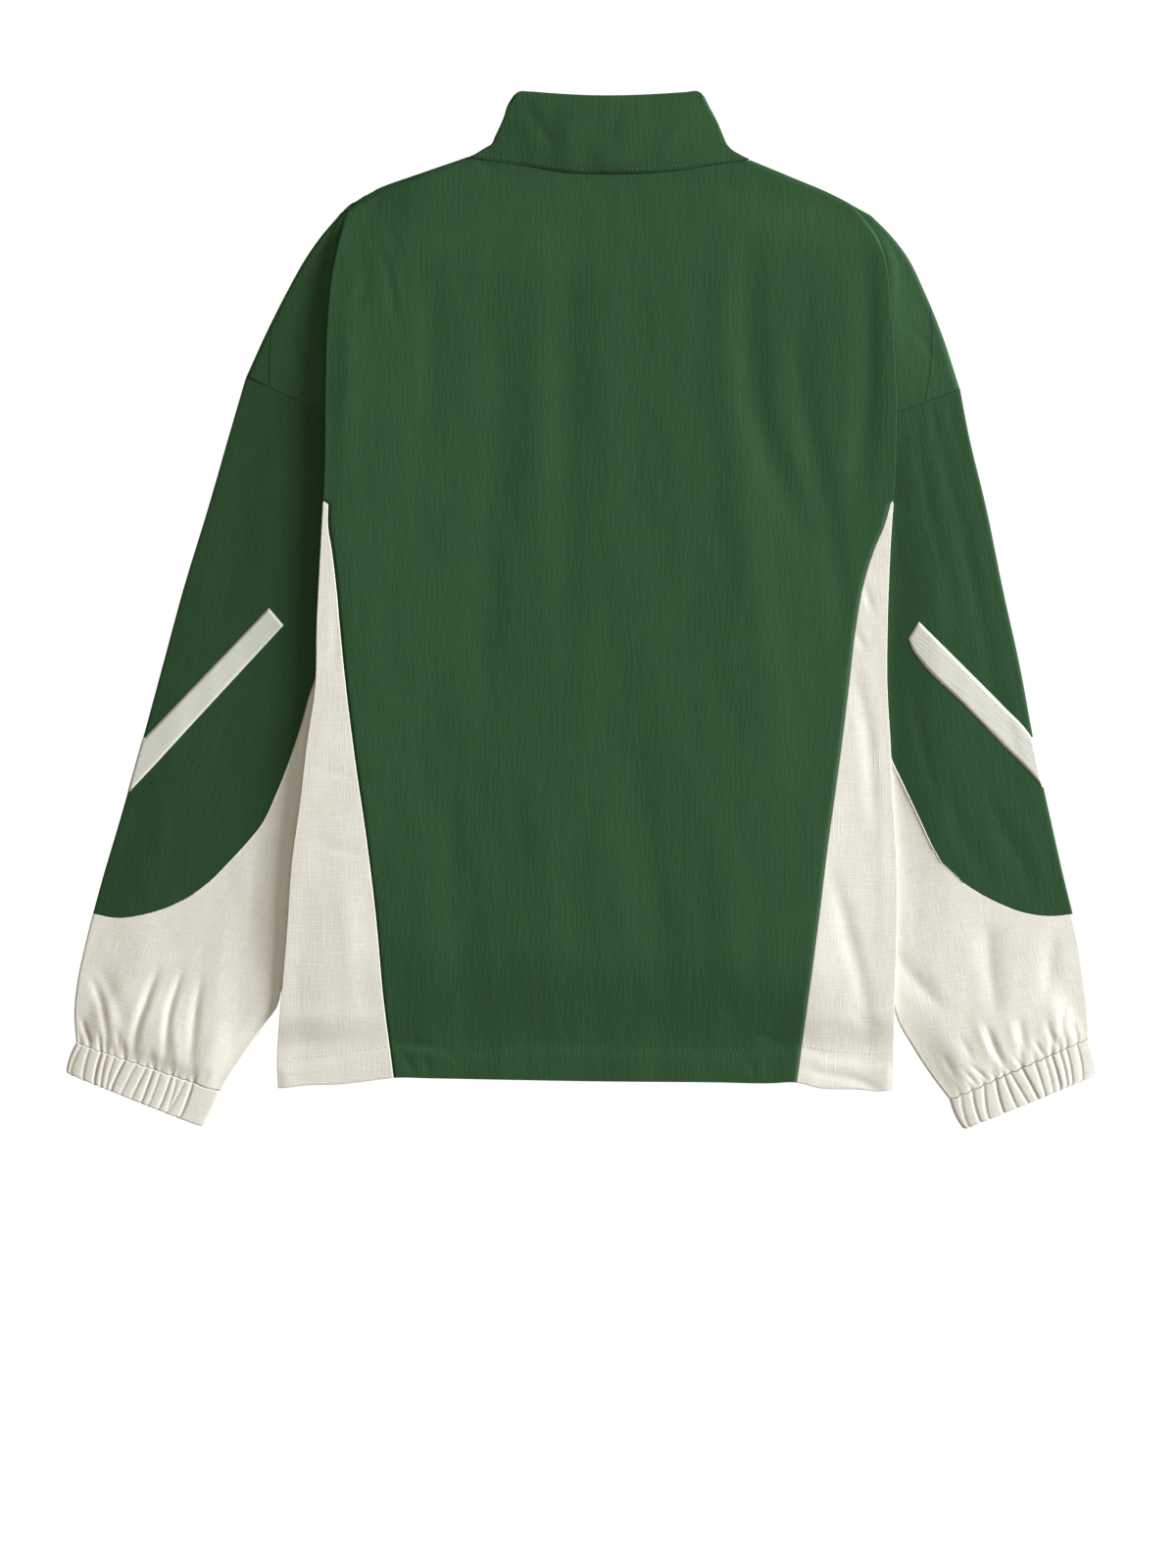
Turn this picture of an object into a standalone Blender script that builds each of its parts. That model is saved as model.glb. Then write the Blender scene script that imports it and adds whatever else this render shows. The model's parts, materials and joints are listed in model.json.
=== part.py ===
"""A stand-collar track top laid out flat with its back up, modelled in Blender.

Every piece is one wall of cloth. Its outer face is a grid of points, worked out from the tables below,
and a Solidify modifier gives it the cloth's thickness. The tables are in millimetres, seen from above:
x runs to the right, y towards the collar, z up from the surface that the garment lies on. "left" and
"right" are as seen from above. The origin is on that surface, under the middle of the garment.
"""
import math

import bpy
import numpy as np
from mathutils import Vector
from mathutils.bvhtree import BVHTree

MM = 0.001                       # tables are in millimetres, the model in metres

# Cloth and layers
WALL = 1.2                       # thickness of each wall of cloth
SEAM = 0.3                       # gap between two sewn pieces
AIR = 0.8                        # air between the two layers of a pressed tube
LAYERS = 2 * WALL + AIR          # height of a pressed tube
REST_GAP = 0.6                   # gap under the body's side where it lies on the sleeve
FOLD_RADIUS = 1.8                # outer radius where the body's side turns under
TUCK_RADIUS = REST_GAP / 2       # radius of the hollow fold between the body and its shoulder
STACK = LAYERS + REST_GAP + 2 * FOLD_RADIUS   # height of the body's edge over the sleeve
UNDER = LAYERS + REST_GAP        # height of the layer that turns under, over the sleeve
REST = 4.0                       # height of the back in the middle
PINCH = 2.8                      # height of the shoulder edge, where back and front are sewn together
PINCH_WIDTH = 9.0                # width over which the back comes down to that edge
STACK_WIDTH = 24.0               # how far the body stays high, in from its side fold
STACK_FADE = 50.0                # and over how much more it comes down to rest
LIP = 1.5                        # width of the side panel's tip where it starts at the side fold
STEP = 18.0                      # width over which the side panel comes down to the floor at the underarm

# Heights of the garment's stations up the page
SLEEVE_Y = 140.0                 # hidden top of the seam that joins shoulder and sleeve
TIP_Y = 81.0                     # tip of the cream side panel at the body's side fold
ARMPIT_Y = 1.0                   # underarm point, hidden under the body
LIFT_END_Y = -305.0              # below this the body's side no longer lies on the sleeve
FLOOR_Y = -329.0                 # and from here on it lies on the floor
HEM_Y = -355.0                   # bottom edge of the back
HEM_CHANNEL = 25.0               # depth of the hem's channel
HEM_RELIEF = 0.7                 # how far the folded hem stands proud
HEM_CORNER = 6.0                 # how much lower the side panels reach at the body's side folds

# The centre line leans a little: x = CENTER_X + CENTER_LEAN * y
CENTER_X = 12.2
CENTER_LEAN = 0.0229

# Zip on the hidden front
ZIP_WIDTH = 6.0
ZIP_LENGTH = 250.0               # below the neckline
ZIP_HEIGHT = 1.4

# Side edges of the body: where the back folds under
SIDE_FOLD = dict(
    y=(307, 275, 227, 168, 105, 46, -14, -58, -101, -145, -188, -247, -298, -335, -361),
    left=(-174, -183.5, -190.2, -192.4, -193.1, -196.1, -199.1, -200.2, -206.5, -211.6, -217.6, -222,
          -226.4, -229.4, -228.5),
    right=(203, 225, 233.1, 237.2, 236.8, 233.1, 230.9, 230.7, 233.1, 235.3, 237.9, 238, 236.4, 235.9,
           235.4))

# Seam between the green back and the cream side panels
SIDE_SEAM = dict(
    y=(81, 60, 46, 16, -14, -58, -117, -176, -236, -295, -355),
    left=(-190, -190, -187.7, -184, -181.3, -176.9, -169.5, -161, -153.9, -148.7, -141.3),
    right=(233.7, 227, 221, 211.8, 206.5, 201.3, 193.9, 185.7, 178.3, 170.5, 162.1))

# Rows of the fold between the body and its shoulder: how far the cloth turns (degrees), how far it
# drops, and how much the row leans with the shoulder. A turn of 180 is a full tuck.
TUCK = dict(
    y=(307, 297, 285, 272, 262, 252, 236, 205, 176),
    turn=(8, 22, 48, 90, 140, 180, 180, 180, 180),
    drop=(0.2, 0.9, 2.4, 4.2, 4.2, 4.2, 4.2, 4.2, 4.2),
    lean=(0.69, 0.4, 0.15, 0, 0, 0, 0, 0, 0),
    radius=(12, 8, 3.8, 1.8, 1.8, 1.8, 1.8, 1.8, 1.8),
    hollow=(6, 4, 1.6, 0.3, 0.3, 0.3, 0.3, 0.3, 0.3),
    run=(0, 0, 0, 0, 0, 3, 9, 18, 22))

# Hidden line where the sleeve's seam runs down inside that fold, from the shoulder seam to the underarm
ARMHOLE = dict(left=((-170, SLEEVE_Y), (-172, ARMPIT_Y)), right=((214, SLEEVE_Y), (211, ARMPIT_Y)))

# Outlines of shoulders and sleeves
SHOULDER = dict(
    left=((-85, 341), (-124, 327), (-161, 312), (-183, 297), (-196, 282), (-206, 268), (-223, 238),
          (-238, 208), (-253, 175)),
    right=((128, 339), (157, 327), (192, 312), (219, 297), (234, 282), (245, 268), (260, 238),
           (273, 206), (286, 166)))
SLEEVE_OUT = dict(
    left=((-253, 175), (-265, 134), (-282, 75), (-300, 16), (-316, -43), (-332, -102), (-349, -162),
          (-362, -206), (-368.5, -230)),
    right=((286, 166), (292, 134), (306, 75), (318, 16), (331, -43), (342, -102), (355, -162),
           (365, -206), (371, -230)))
LOWER_OUT = dict(
    left=((-368.5, -230), (-374, -252), (-380, -280), (-382.5, -305), (-381, -327)),
    right=((371, -230), (376, -252), (380, -280), (383, -305), (383.5, -323)))
SLEEVE_IN = dict(
    left=((-172, ARMPIT_Y), (-173, -58), (-185, -132), (-201, -206), (-217, -262), (-226, -287),
          (-229, -299), (-239, -313), (-252, -333), (-263, -349), (-272, -364)),
    right=((211, ARMPIT_Y), (207, -58), (212, -132), (221, -206), (228, -269), (235, -295),
           (238, -308), (250, -330), (265, -353), (278, -370)))

UNDERARM_CLEAR = 1.4             # how far the green sleeve is cut back at the hidden underarm

# Seam between the green and the cream of the sleeves: down its inner side, then across to the outer fold
SLEEVE_SEAM_DOWN = dict(
    left=((-172, ARMPIT_Y), (-187, -28), (-201, -58), (-210, -88), (-220, -117), (-229, -139),
          (-240, -162), (-252, -177), (-265, -191)),
    right=((211, ARMPIT_Y), (219, -34), (225, -65), (232, -110), (242, -132), (249, -147), (257, -164),
           (264, -179), (271, -191)))
SLEEVE_SEAM_ACROSS = dict(
    left=((-265, -191), (-280, -206), (-303, -221), (-328, -230), (-350, -233), (-368.5, -230)),
    right=((271, -191), (289, -207), (313, -221), (334, -229), (353, -231.5), (371, -230)))

# Cuffs: corners at their seam are the ends of the lines above, these are the corners at their ends
CUFF_OUT = dict(left=(-389, -350), right=(390, -351))
CUFF_IN = dict(left=(-286, -391), right=(289, -393))
CUFF_RIDGES = 12                 # ridges across each cuff
CUFF_BULGE = 5.4                 # height of the cuff between its ridges and troughs
CUFF_RIDGE = 0.9                 # how far ridges stand over that, and troughs lie below
GATHERS = 5                      # soft gathers above each cuff
GATHER_HEIGHT = 1.0
GATHER_REACH = 62.0              # how far they run up the sleeve

# Soft folds of the sleeves
SLEEVE_PUFF = 1.5                # how far the sleeves stand over a pressed tube
TUBE_REACH = 1.8                 # half width of the rounding at a sleeve's edges

# Tapes on the sleeves: middle line from the inner end to the outer fold, and width
TAPE_LINE = dict(
    left=((-229.5, -6.5), (-262, -34), (-300, -68), (-322, -92), (-336, -113), (-352, -137)),
    right=((251, -16), (280, -46), (309, -76), (332, -99), (347, -118), (365, -142)))
TAPE_END_SLANT = dict(left=1.5, right=-3.0)
TAPE_WIDTH = 17.5
TAPE_THICK = 0.8
TAPE_GAP = 0.45                  # from the sleeve's outer points to the tape's under side
TAPE_TURNS = (60, 30, 0, -25)    # where the tape's last rows lie around the sleeve's outer fold, degrees

# Collar: its fold edges, the back neck seam, its top, and the same lines on the hidden front
COLLAR_SIDE = dict(
    left=((-50, 389), (-56, 377), (-60, 367), (-64, 358), (-68, 350), (-76, 346), (-85, 341)),
    right=((95, 388), (99, 379), (103, 371), (107, 362), (111, 354), (118, 347), (128, 339)))
COLLAR_CLEAR = 0.3               # extra gap at the neck seam, where the collar's wall leans
COLLAR_CORNER = (0.9, 0.6)       # and how much further in and up its corners at the shoulders are
NECK_SEAM = ((-85, 341), (-67, 338), (-41, 334), (-10, 329), (19, 328), (48, 328.5), (75, 331),
             (102, 335.5), (128, 339))
COLLAR_TOP = ((-50, 389), (-43, 391), (-17, 390), (19, 388), (53, 389), (89, 391.5), (95, 388))
FRONT_NECK = dict(
    left=((-85, 341), (-77, 318), (-60, 291), (-32, 267), (14.8, 253)),
    right=((128, 339), (118, 316), (99, 289), (68, 266), (21.2, 253)))
FRONT_COLLAR_TOP = dict(
    left=((-50, 389), (-42, 364), (-28, 341), (-8, 325), (16.5, 316)),
    right=((95, 388), (86, 362), (70, 339), (46, 325), (22.9, 316)))

# Creases of the back, from one end to the other, with half width and depth (a ridge is below zero)
BACK_CREASES = (
    dict(start=(131, 268), end=(150, 60), width=20, depth=0.9),
    dict(start=(150, 100), end=(198, -60), width=18, depth=0.8),
    dict(start=(95, 250), end=(118, 20), width=17, depth=-0.6),
    dict(start=(40, 260), end=(30, -120), width=22, depth=0.5),
    dict(start=(-20, 240), end=(-35, -200), width=24, depth=-0.5),
    dict(start=(-85, 250), end=(-95, -60), width=20, depth=0.6),
    dict(start=(-135, 230), end=(-143, 110), width=12, depth=0.8),
    dict(start=(-120, 30), end=(-105, -260), width=20, depth=-0.5),
    dict(start=(60, -80), end=(75, -320), width=24, depth=0.5),
    dict(start=(120, -60), end=(112, -300), width=18, depth=-0.5),
    dict(start=(-55, -120), end=(-50, -330), width=18, depth=0.5),
    dict(start=(-145, -330), end=(-120, -352), width=9, depth=-0.7),
    dict(start=(133, -322), end=(160, -350), width=9, depth=-0.8),
    dict(start=(205, -47), end=(220, -160), width=9, depth=0.7),
    dict(start=(187, -193), end=(216, -322), width=10, depth=0.8))

# Creases of the sleeves
SLEEVE_CREASES = dict(
    left=(dict(start=(-205, 150), end=(-206, 40), width=9, depth=1.1),
          dict(start=(-211, -70), end=(-229, -285), width=9, depth=1.2),
          dict(start=(-240, 120), end=(-262, -60), width=14, depth=-0.5),
          dict(start=(-300, -20), end=(-325, -180), width=15, depth=-0.5),
          dict(start=(-364, -274), end=(-343, -315), width=8, depth=0.8)),
    right=(dict(start=(247, 140), end=(243, -60), width=8, depth=1.0),
           dict(start=(246, -160), end=(272, -310), width=9, depth=1.0),
           dict(start=(268, 130), end=(292, -40), width=12, depth=-0.5),
           dict(start=(315, -234), end=(307, -316), width=9, depth=0.9),
           dict(start=(300, -90), end=(335, -200), width=14, depth=-0.5)))

# How finely each piece is divided
BACK_COLUMNS = 21
WING_COLUMNS = 4
FOLD_COLUMNS = 4                 # around a fold of the body
TUBE_COLUMNS = 3                 # around a fold of a sleeve, besides its ends
SLEEVE_COLUMNS = 11
LOWER_ROWS = 8
CUFF_ROWS = 3
CUFF_COLUMNS = 48
CUFF_UNDER = 6                   # a cuff's flat lower layer has one column for this many of its upper layer
FRONT_ROWS = (307, 290, 262, 230, 200, 170, SLEEVE_Y, 70, ARMPIT_Y, -100, -200, LIFT_END_Y, HEM_Y)

COLOURS = dict(                  # base colour, roughness
    green_cloth=((0.032, 0.078, 0.034), 0.72),
    cream_cloth=((0.69, 0.67, 0.60), 0.85),
    tape=((0.62, 0.62, 0.57), 0.80),
    zip=((0.03, 0.07, 0.032), 0.45))
COLLECTION = "track_top"


# ---- lines ----------------------------------------------------------------------------------------

def read_line(knots, values, places):
    """Read a smooth line through the values at the knots, which rise."""
    knots = np.asarray(knots, float)
    values = np.asarray(values, float)
    places = np.clip(places, knots[0], knots[-1])
    slopes = np.gradient(values, knots, axis=0)
    cell = np.clip(np.searchsorted(knots, places) - 1, 0, len(knots) - 2)
    width = knots[cell + 1] - knots[cell]
    t = (places - knots[cell]) / width
    if values.ndim > 1:
        t = t[:, None]
        width = width[:, None]
    start = (1 + 2 * t) * (1 - t) ** 2 * values[cell] + t * (1 - t) ** 2 * width * slopes[cell]
    end = t * t * (3 - 2 * t) * values[cell + 1] + t * t * (t - 1) * width * slopes[cell + 1]
    return start + end


def column(table, name, y):
    """Read one column of a table at height y."""
    y = np.atleast_1d(np.asarray(y, float))
    return read_line(table["y"][::-1], table[name][::-1], y.ravel()).reshape(y.shape)


def along(points, shares):
    """Points at the given shares of the length of a smooth line through the points."""
    points = np.asarray(points, float)
    knots = lengths(points)
    fine_places = np.linspace(0, knots[-1], 12 * len(points))
    fine = read_line(knots, points, fine_places)
    real = lengths(fine)
    return read_line(knots, points, np.interp(np.asarray(shares) * real[-1], real, fine_places))


def lengths(points):
    """Length from the first point to each point of a line."""
    steps = np.linalg.norm(np.diff(points, axis=0), axis=1)
    return np.concatenate([[0.0], np.cumsum(steps)])


def straight(start, end, shares):
    """Points on a straight line at the given shares of its length."""
    shares = np.asarray(shares, float)[:, None]
    return (1 - shares) * np.asarray(start, float) + shares * np.asarray(end, float)


def even(count):
    """Shares that divide a line into equal parts."""
    return np.linspace(0, 1, count + 1)


def inward(line, side):
    """Unit directions across a line that runs down the page, towards the middle of its tube."""
    tangent = np.gradient(line, axis=0)
    tangent /= np.linalg.norm(tangent, axis=1)[:, None]
    across = np.stack([-tangent[:, 1], tangent[:, 0]], axis=1)
    return across if side == "left" else -across


def toward(start, end, reach):
    """The point at this distance from start, towards end."""
    way = np.asarray(end, float) - np.asarray(start, float)
    return np.asarray(start, float) + way / np.linalg.norm(way) * reach


def patch(top, bottom, left, right, u, v):
    """Fill four edge lines with a grid: rows from top to bottom, columns from left to right."""
    u = np.asarray(u)[None, :, None]
    v = np.asarray(v)[:, None, None]
    ruled = (1 - v) * top[None] + v * bottom[None] + (1 - u) * left[:, None] + u * right[:, None]
    corners = ((1 - u) * (1 - v) * top[0] + u * (1 - v) * top[-1]
               + (1 - u) * v * bottom[0] + u * v * bottom[-1])
    return ruled - corners


# ---- heights --------------------------------------------------------------------------------------

def ease(t):
    """Rise smoothly from 0 to 1."""
    t = np.clip(t, 0, 1)
    return t * t * (3 - 2 * t)


def crease_depth(creases, x, y):
    """Sum of the soft troughs at each place, less the ridges."""
    depth = np.zeros(np.shape(x))
    for crease in creases:
        start = np.array(crease["start"], float)
        way = np.array(crease["end"], float) - start
        reach = np.linalg.norm(way)
        share = ((x - start[0]) * way[0] + (y - start[1]) * way[1]) / reach ** 2
        off = ((x - start[0]) * way[1] - (y - start[1]) * way[0]) / reach
        taper = np.sin(np.pi * np.clip(share, 0, 1)) ** 0.7
        depth += crease["depth"] * taper * np.exp(-(off / crease["width"]) ** 2)
    return depth


def side_lift(y):
    """Height of the layer under the body's side: over the sleeve, then down to the floor at the hem."""
    return UNDER * ease((y - FLOOR_Y) / (LIFT_END_Y - FLOOR_Y))


def tuck_drop(y):
    """How far the shoulder lies below the body's edge."""
    return column(TUCK, "drop", y)


def edge_height(y):
    """Height of the body's side edge."""
    y = np.asarray(y, float)
    upper = LAYERS + tuck_drop(y)
    lower = side_lift(y) + 2 * FOLD_RADIUS
    return np.where(y > TIP_Y, upper, lower)


def back_height(x, y):
    """Height of the body's upper layer."""
    left = x - column(SIDE_FOLD, "left", y)
    right = column(SIDE_FOLD, "right", y) - x
    inside = np.minimum(left, right)
    near = 1 - ease((inside - STACK_WIDTH) / STACK_FADE)
    height = REST + (edge_height(y) - REST) * near
    height -= crease_depth(BACK_CREASES, x, y) * ease((inside - 4) / 25)
    channel = ease((HEM_Y + HEM_CHANNEL - y) / 3)
    return height + HEM_RELIEF * channel


def sleeve_height(side, x, y):
    """Height of a sleeve's upper layer."""
    sign = -1 if side == "left" else 1
    fold = column(SIDE_FOLD, side, y)
    clear = ease(((x - fold) * sign - 3) / 26)
    outer = np.concatenate([SLEEVE_OUT[side], LOWER_OUT[side][1:]])
    edge = read_line(outer[::-1, 1], outer[::-1, 0], np.ravel(y)).reshape(np.shape(y))
    inside = ease(((edge - x) * sign) / 26)
    height = LAYERS + 0.3 * clear + SLEEVE_PUFF * clear * inside
    return height - crease_depth(SLEEVE_CREASES[side], x, y) * clear * ease(((edge - x) * sign) / 12)


# ---- meshes ---------------------------------------------------------------------------------------

def clear_scene():
    for item in list(bpy.data.objects):
        bpy.data.objects.remove(item, do_unlink=True)


def material(name):
    colour, roughness = COLOURS[name]
    made = bpy.data.materials.get(name) or bpy.data.materials.new(name)
    made.use_nodes = True
    shader = made.node_tree.nodes["Principled BSDF"]
    shader.inputs["Base Color"].default_value = (*colour, 1)
    shader.inputs["Roughness"].default_value = roughness
    shader.inputs["Metallic"].default_value = 0.0
    return made


def grid_faces(shape, keep, closed):
    """Faces of a grid of points, without the cells that keep leaves out."""
    rows, columns = shape
    numbers = np.arange(rows * columns).reshape(rows, columns)
    if closed:
        numbers = np.concatenate([numbers, numbers[:, :1]], axis=1)
    faces = []
    for r in range(rows - 1):
        for c in range(numbers.shape[1] - 1):
            if keep is None or keep[r, c]:
                faces.append((numbers[r, c], numbers[r + 1, c], numbers[r + 1, c + 1], numbers[r, c + 1]))
    return faces


def trim_edges(points, faces, amount):
    """Move the open edges of a sheet inwards, in its own surface, to leave half a seam's gap."""
    count = {}
    for face in faces:
        for a, b in zip(face, face[1:] + face[:1]):
            count[(a, b)] = face
    push = {}
    for (a, b), face in count.items():
        if (b, a) in count:
            continue
        middle = points[list(face)].mean(axis=0)
        way = (points[b] - points[a]) / np.linalg.norm(points[b] - points[a])
        aside = middle - points[a]
        aside -= way * aside.dot(way)
        aside /= np.linalg.norm(aside)
        for end in (a, b):
            push.setdefault(end, []).append(aside)
    moved = points.copy()
    for point, ways in push.items():
        total = np.sum(ways, axis=0)
        share = 1 + ways[0].dot(ways[1]) if len(ways) == 2 else 1.0
        moved[point] += total / max(share, 0.4) * amount
    return moved


def sheet(name, points, finish, keep=None, closed=False, flip=False, thick=WALL, outside=False):
    """Make one piece of cloth from the grid of its outer points, given in millimetres."""
    shape = points.shape[:2]
    faces = grid_faces(shape, keep, closed)
    flat = trim_edges(points.reshape(-1, 3), faces, SEAM / 2)
    used = sorted({corner for face in faces for corner in face})
    place = {old: new for new, old in enumerate(used)}
    faces = [tuple(place[corner] for corner in face) for face in faces]
    if flip:
        faces = [face[::-1] for face in faces]
    mesh = bpy.data.meshes.new(name)
    mesh.from_pydata([tuple(flat[old] * MM) for old in used], [], faces)
    mesh.materials.append(material(finish))
    mesh.shade_smooth()
    piece = bpy.data.objects.new(name, mesh)
    bpy.data.collections[COLLECTION].objects.link(piece)
    wall = piece.modifiers.new("wall", "SOLIDIFY")
    wall.thickness = thick * MM
    wall.offset = 1.0 if outside else -1.0
    return piece


def with_height(plan, height):
    """Join plan points and heights."""
    height = np.broadcast_to(height, plan.shape[:-1])
    return np.concatenate([plan, height[..., None]], axis=-1)


def roll(tangent, reach_way, reach, top, bottom, count):
    """Columns around a fold, from just past its upper edge to just before its lower edge."""
    turns = np.pi / 2 - np.pi * np.arange(1, count + 1) / (count + 1)
    columns = []
    for turn in turns:
        plan = tangent + reach_way * reach * math.cos(turn)
        height = (top + bottom) / 2 + (top - bottom) / 2 * math.sin(turn)
        columns.append(with_height(plan, height))
    return np.stack(columns, axis=1)


# ---- body -----------------------------------------------------------------------------------------

def body_rows():
    """Heights of the rows of the body, from the shoulder down to the hem."""
    upper = list(TUCK["y"]) + [SLEEVE_Y]
    middle = [110, TIP_Y, 60, 46, 22, ARMPIT_Y]
    lower = list(np.linspace(ARMPIT_Y, LIFT_END_Y, 10)[1:])
    hem = [-317, HEM_Y + HEM_CHANNEL, HEM_Y + HEM_CHANNEL - 3, -344, HEM_Y]
    return np.array(upper + middle + lower + hem, float)


def row_of(rows, y):
    return int(np.argmin(np.abs(rows - y)))


def armhole_x(side, y):
    (x0, y0), (x1, y1) = ARMHOLE[side]
    return x0 + (x1 - x0) * (y - y0) / (y1 - y0)


def corner_drop(y):
    """How much lower the side panels' rows lie at the side fold than at their seam."""
    return HEM_CORNER * ease((LIFT_END_Y - y) / (LIFT_END_Y - HEM_Y))


def tuck_path(side, row, y, outer_plan):
    """One row of the shoulder's fold: from the back's edge round under it and out to the shoulder."""
    sign = -1 if side == "left" else 1
    fold = column(SIDE_FOLD, side, y)[0]
    split = np.array([fold - sign * (FOLD_RADIUS + LIP), y])
    if row == 0:
        count = 1 + FOLD_COLUMNS + 1 + 3 + WING_COLUMNS
        plan = straight(split, outer_plan, even(count))
        return with_height(plan, PINCH)
    height = edge_height(np.array([y]))[0]
    tangent = fold - sign * FOLD_RADIUS
    path = [(split[0], height), (tangent, height)]
    if y > TUCK["y"][-1] - 1:
        turn = math.radians(TUCK["turn"][row])
        drop = TUCK["drop"][row]
        run = TUCK["run"][row]
        lean = TUCK["lean"][row]
        fold_radius, hollow_radius = TUCK["radius"][row], TUCK["hollow"][row]
    else:
        turn, drop, run, lean = math.pi, STACK - LAYERS, None, 0.0
        fold_radius, hollow_radius = FOLD_RADIUS, TUCK_RADIUS
    if turn < math.pi - 0.01:
        run = (drop - (fold_radius + hollow_radius) * (1 - math.cos(turn))) / math.sin(turn)
        run = max(run, 0.3)
    elif run is None:
        run = abs(armhole_x(side, y) - fold) - FOLD_RADIUS - TUCK_RADIUS
    x, z, heading = tangent, height, 0.0
    for radius, bend in ((fold_radius, turn), (None, run), (hollow_radius, -turn)):
        if radius is None:
            x += sign * math.cos(heading) * bend
            z -= math.sin(heading) * bend
            path.append((x, z))
            continue
        steps = FOLD_COLUMNS if bend > 0 else 3
        for _ in range(steps):
            part = bend / steps
            chord = 2 * radius * math.sin(abs(part) / 2)
            x += sign * math.cos(heading + part / 2) * chord
            z -= math.sin(heading + part / 2) * chord
            heading += part
            path.append((x, z))
    path = np.array(path)
    ys = y + lean * (path[:, 0] - tangent) * (-sign)
    start = np.array([path[-1, 0], ys[-1]])
    out = straight(start, outer_plan, even(WING_COLUMNS))[1:]
    near = np.linalg.norm(out - out[-1], axis=1)
    out_height = PINCH + (path[-1, 1] - PINCH) * ease(near / PINCH_WIDTH)
    folded = np.stack([path[:, 0], ys, path[:, 1]], axis=1)
    return np.concatenate([folded, with_height(out, out_height)])


def wing_edge(side, rows):
    """Outline points of the shoulder for the rows down to the sleeve's seam."""
    line = np.array(SHOULDER[side][3:], float)
    last = row_of(rows, SLEEVE_Y)
    shares = (rows[0] - rows[:last + 1]) / (rows[0] - rows[last])
    return along(line, shares)


def under_path(side, y):
    """One row of the side fold below the shoulder seam: from the back's edge to the armhole's seam."""
    sign = -1 if side == "left" else 1
    fold = column(SIDE_FOLD, side, y)[0]
    split = fold - sign * (FOLD_RADIUS + LIP)
    tangent = fold - sign * FOLD_RADIUS
    top = edge_height(np.array([y]))[0]
    bottom = top - 2 * FOLD_RADIUS
    path = [(split, top), (tangent, top)]
    for step in range(1, FOLD_COLUMNS + 1):
        turn = math.pi * step / FOLD_COLUMNS
        x = tangent + sign * FOLD_RADIUS * math.sin(turn)
        path.append((x, bottom + FOLD_RADIUS * (1 + math.cos(turn))))
    inner = armhole_x(side, y) if y >= ARMPIT_Y else sleeve_inner_x(side, y)
    inner = min(inner, tangent - 2) if side == "right" else max(inner, tangent + 2)
    path.append((inner, bottom))
    path = np.array(path)
    return np.stack([path[:, 0], np.full(len(path), y), path[:, 1]], axis=1)


def sleeve_inner_x(side, y):
    line = np.array(SLEEVE_IN[side], float)
    return float(read_line(line[::-1, 1], line[::-1, 0], np.array([y]))[0])


def seam_edge(side, rows):
    """Left or right edge of the back's middle: near the side fold down to the tip, then the seam."""
    sign = -1 if side == "left" else 1
    fold = column(SIDE_FOLD, side, rows) - sign * (FOLD_RADIUS + LIP)
    seam = column(SIDE_SEAM, side, rows)
    tip = rows > TIP_Y - 0.5
    inner = np.minimum(seam, fold) if side == "right" else np.maximum(seam, fold)
    return np.stack([np.where(tip, fold, inner), rows], axis=1)


def top_columns():
    """The back's upper edge: left shoulder, neck seam, right shoulder, with the shares of each point."""
    left = along(shoulder_to(SHOULDER["left"], seam_edge("left", body_rows()[:1])[0, 0]), even(4))[::-1]
    right = along(shoulder_to(SHOULDER["right"], seam_edge("right", body_rows()[:1])[0, 0]), even(4))
    neck = along(NECK_SEAM, even(BACK_COLUMNS - 8))
    line = np.concatenate([left, neck[1:-1], right])
    shares = (line[:, 0] - line[0, 0]) / (line[-1, 0] - line[0, 0])
    return line, shares


def make_back():
    rows = body_rows()
    top, u = top_columns()
    left = seam_edge("left", rows)
    right = seam_edge("right", rows)
    left[0], right[0] = top[0], top[-1]
    v = (rows[0] - rows) / (rows[0] - rows[-1])
    bottom = straight(left[-1], right[-1], u)
    plan = patch(top, bottom, left, right, u, v)
    height = back_height(plan[..., 0], plan[..., 1])
    neck = np.zeros(len(top), bool)
    neck[5:-5] = True
    height[0] = np.where(neck, REST, PINCH)
    middle = with_height(plan, height)
    tip, seam_row = row_of(rows, TIP_Y), row_of(rows, SLEEVE_Y)
    strips = {side: back_strip(side, rows, tip, seam_row, middle) for side in ("left", "right")}
    points = np.concatenate([strips["left"][:, ::-1], middle, strips["right"]], axis=1)
    keep = np.ones((len(rows) - 1, points.shape[1] - 1), bool)
    strip_width = strips["left"].shape[1]
    wing = WING_COLUMNS + 3
    keep[tip:, :strip_width] = False
    keep[tip:, -strip_width:] = False
    keep[seam_row:, :wing] = False
    keep[seam_row:, -wing:] = False
    return sheet("back", points, "green_cloth", keep)


def back_strip(side, rows, tip, seam_row, middle):
    """Columns past the back's middle: lip, fold, layer turned under, hollow fold and shoulder."""
    edge = wing_edge(side, rows)
    count = 1 + FOLD_COLUMNS + 1 + 3 + WING_COLUMNS
    strip = np.zeros((len(rows), count, 3))
    strip[:] = middle[:, :1] if side == "left" else middle[:, -1:]
    for row in range(seam_row + 1):
        strip[row] = tuck_path(side, row, rows[row], edge[row])[1:]
    for row in range(seam_row + 1, tip + 1):
        path = under_path(side, rows[row])[1:]
        strip[row, :len(path)] = path
        strip[row, len(path):] = path[-1]
    return strip


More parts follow.
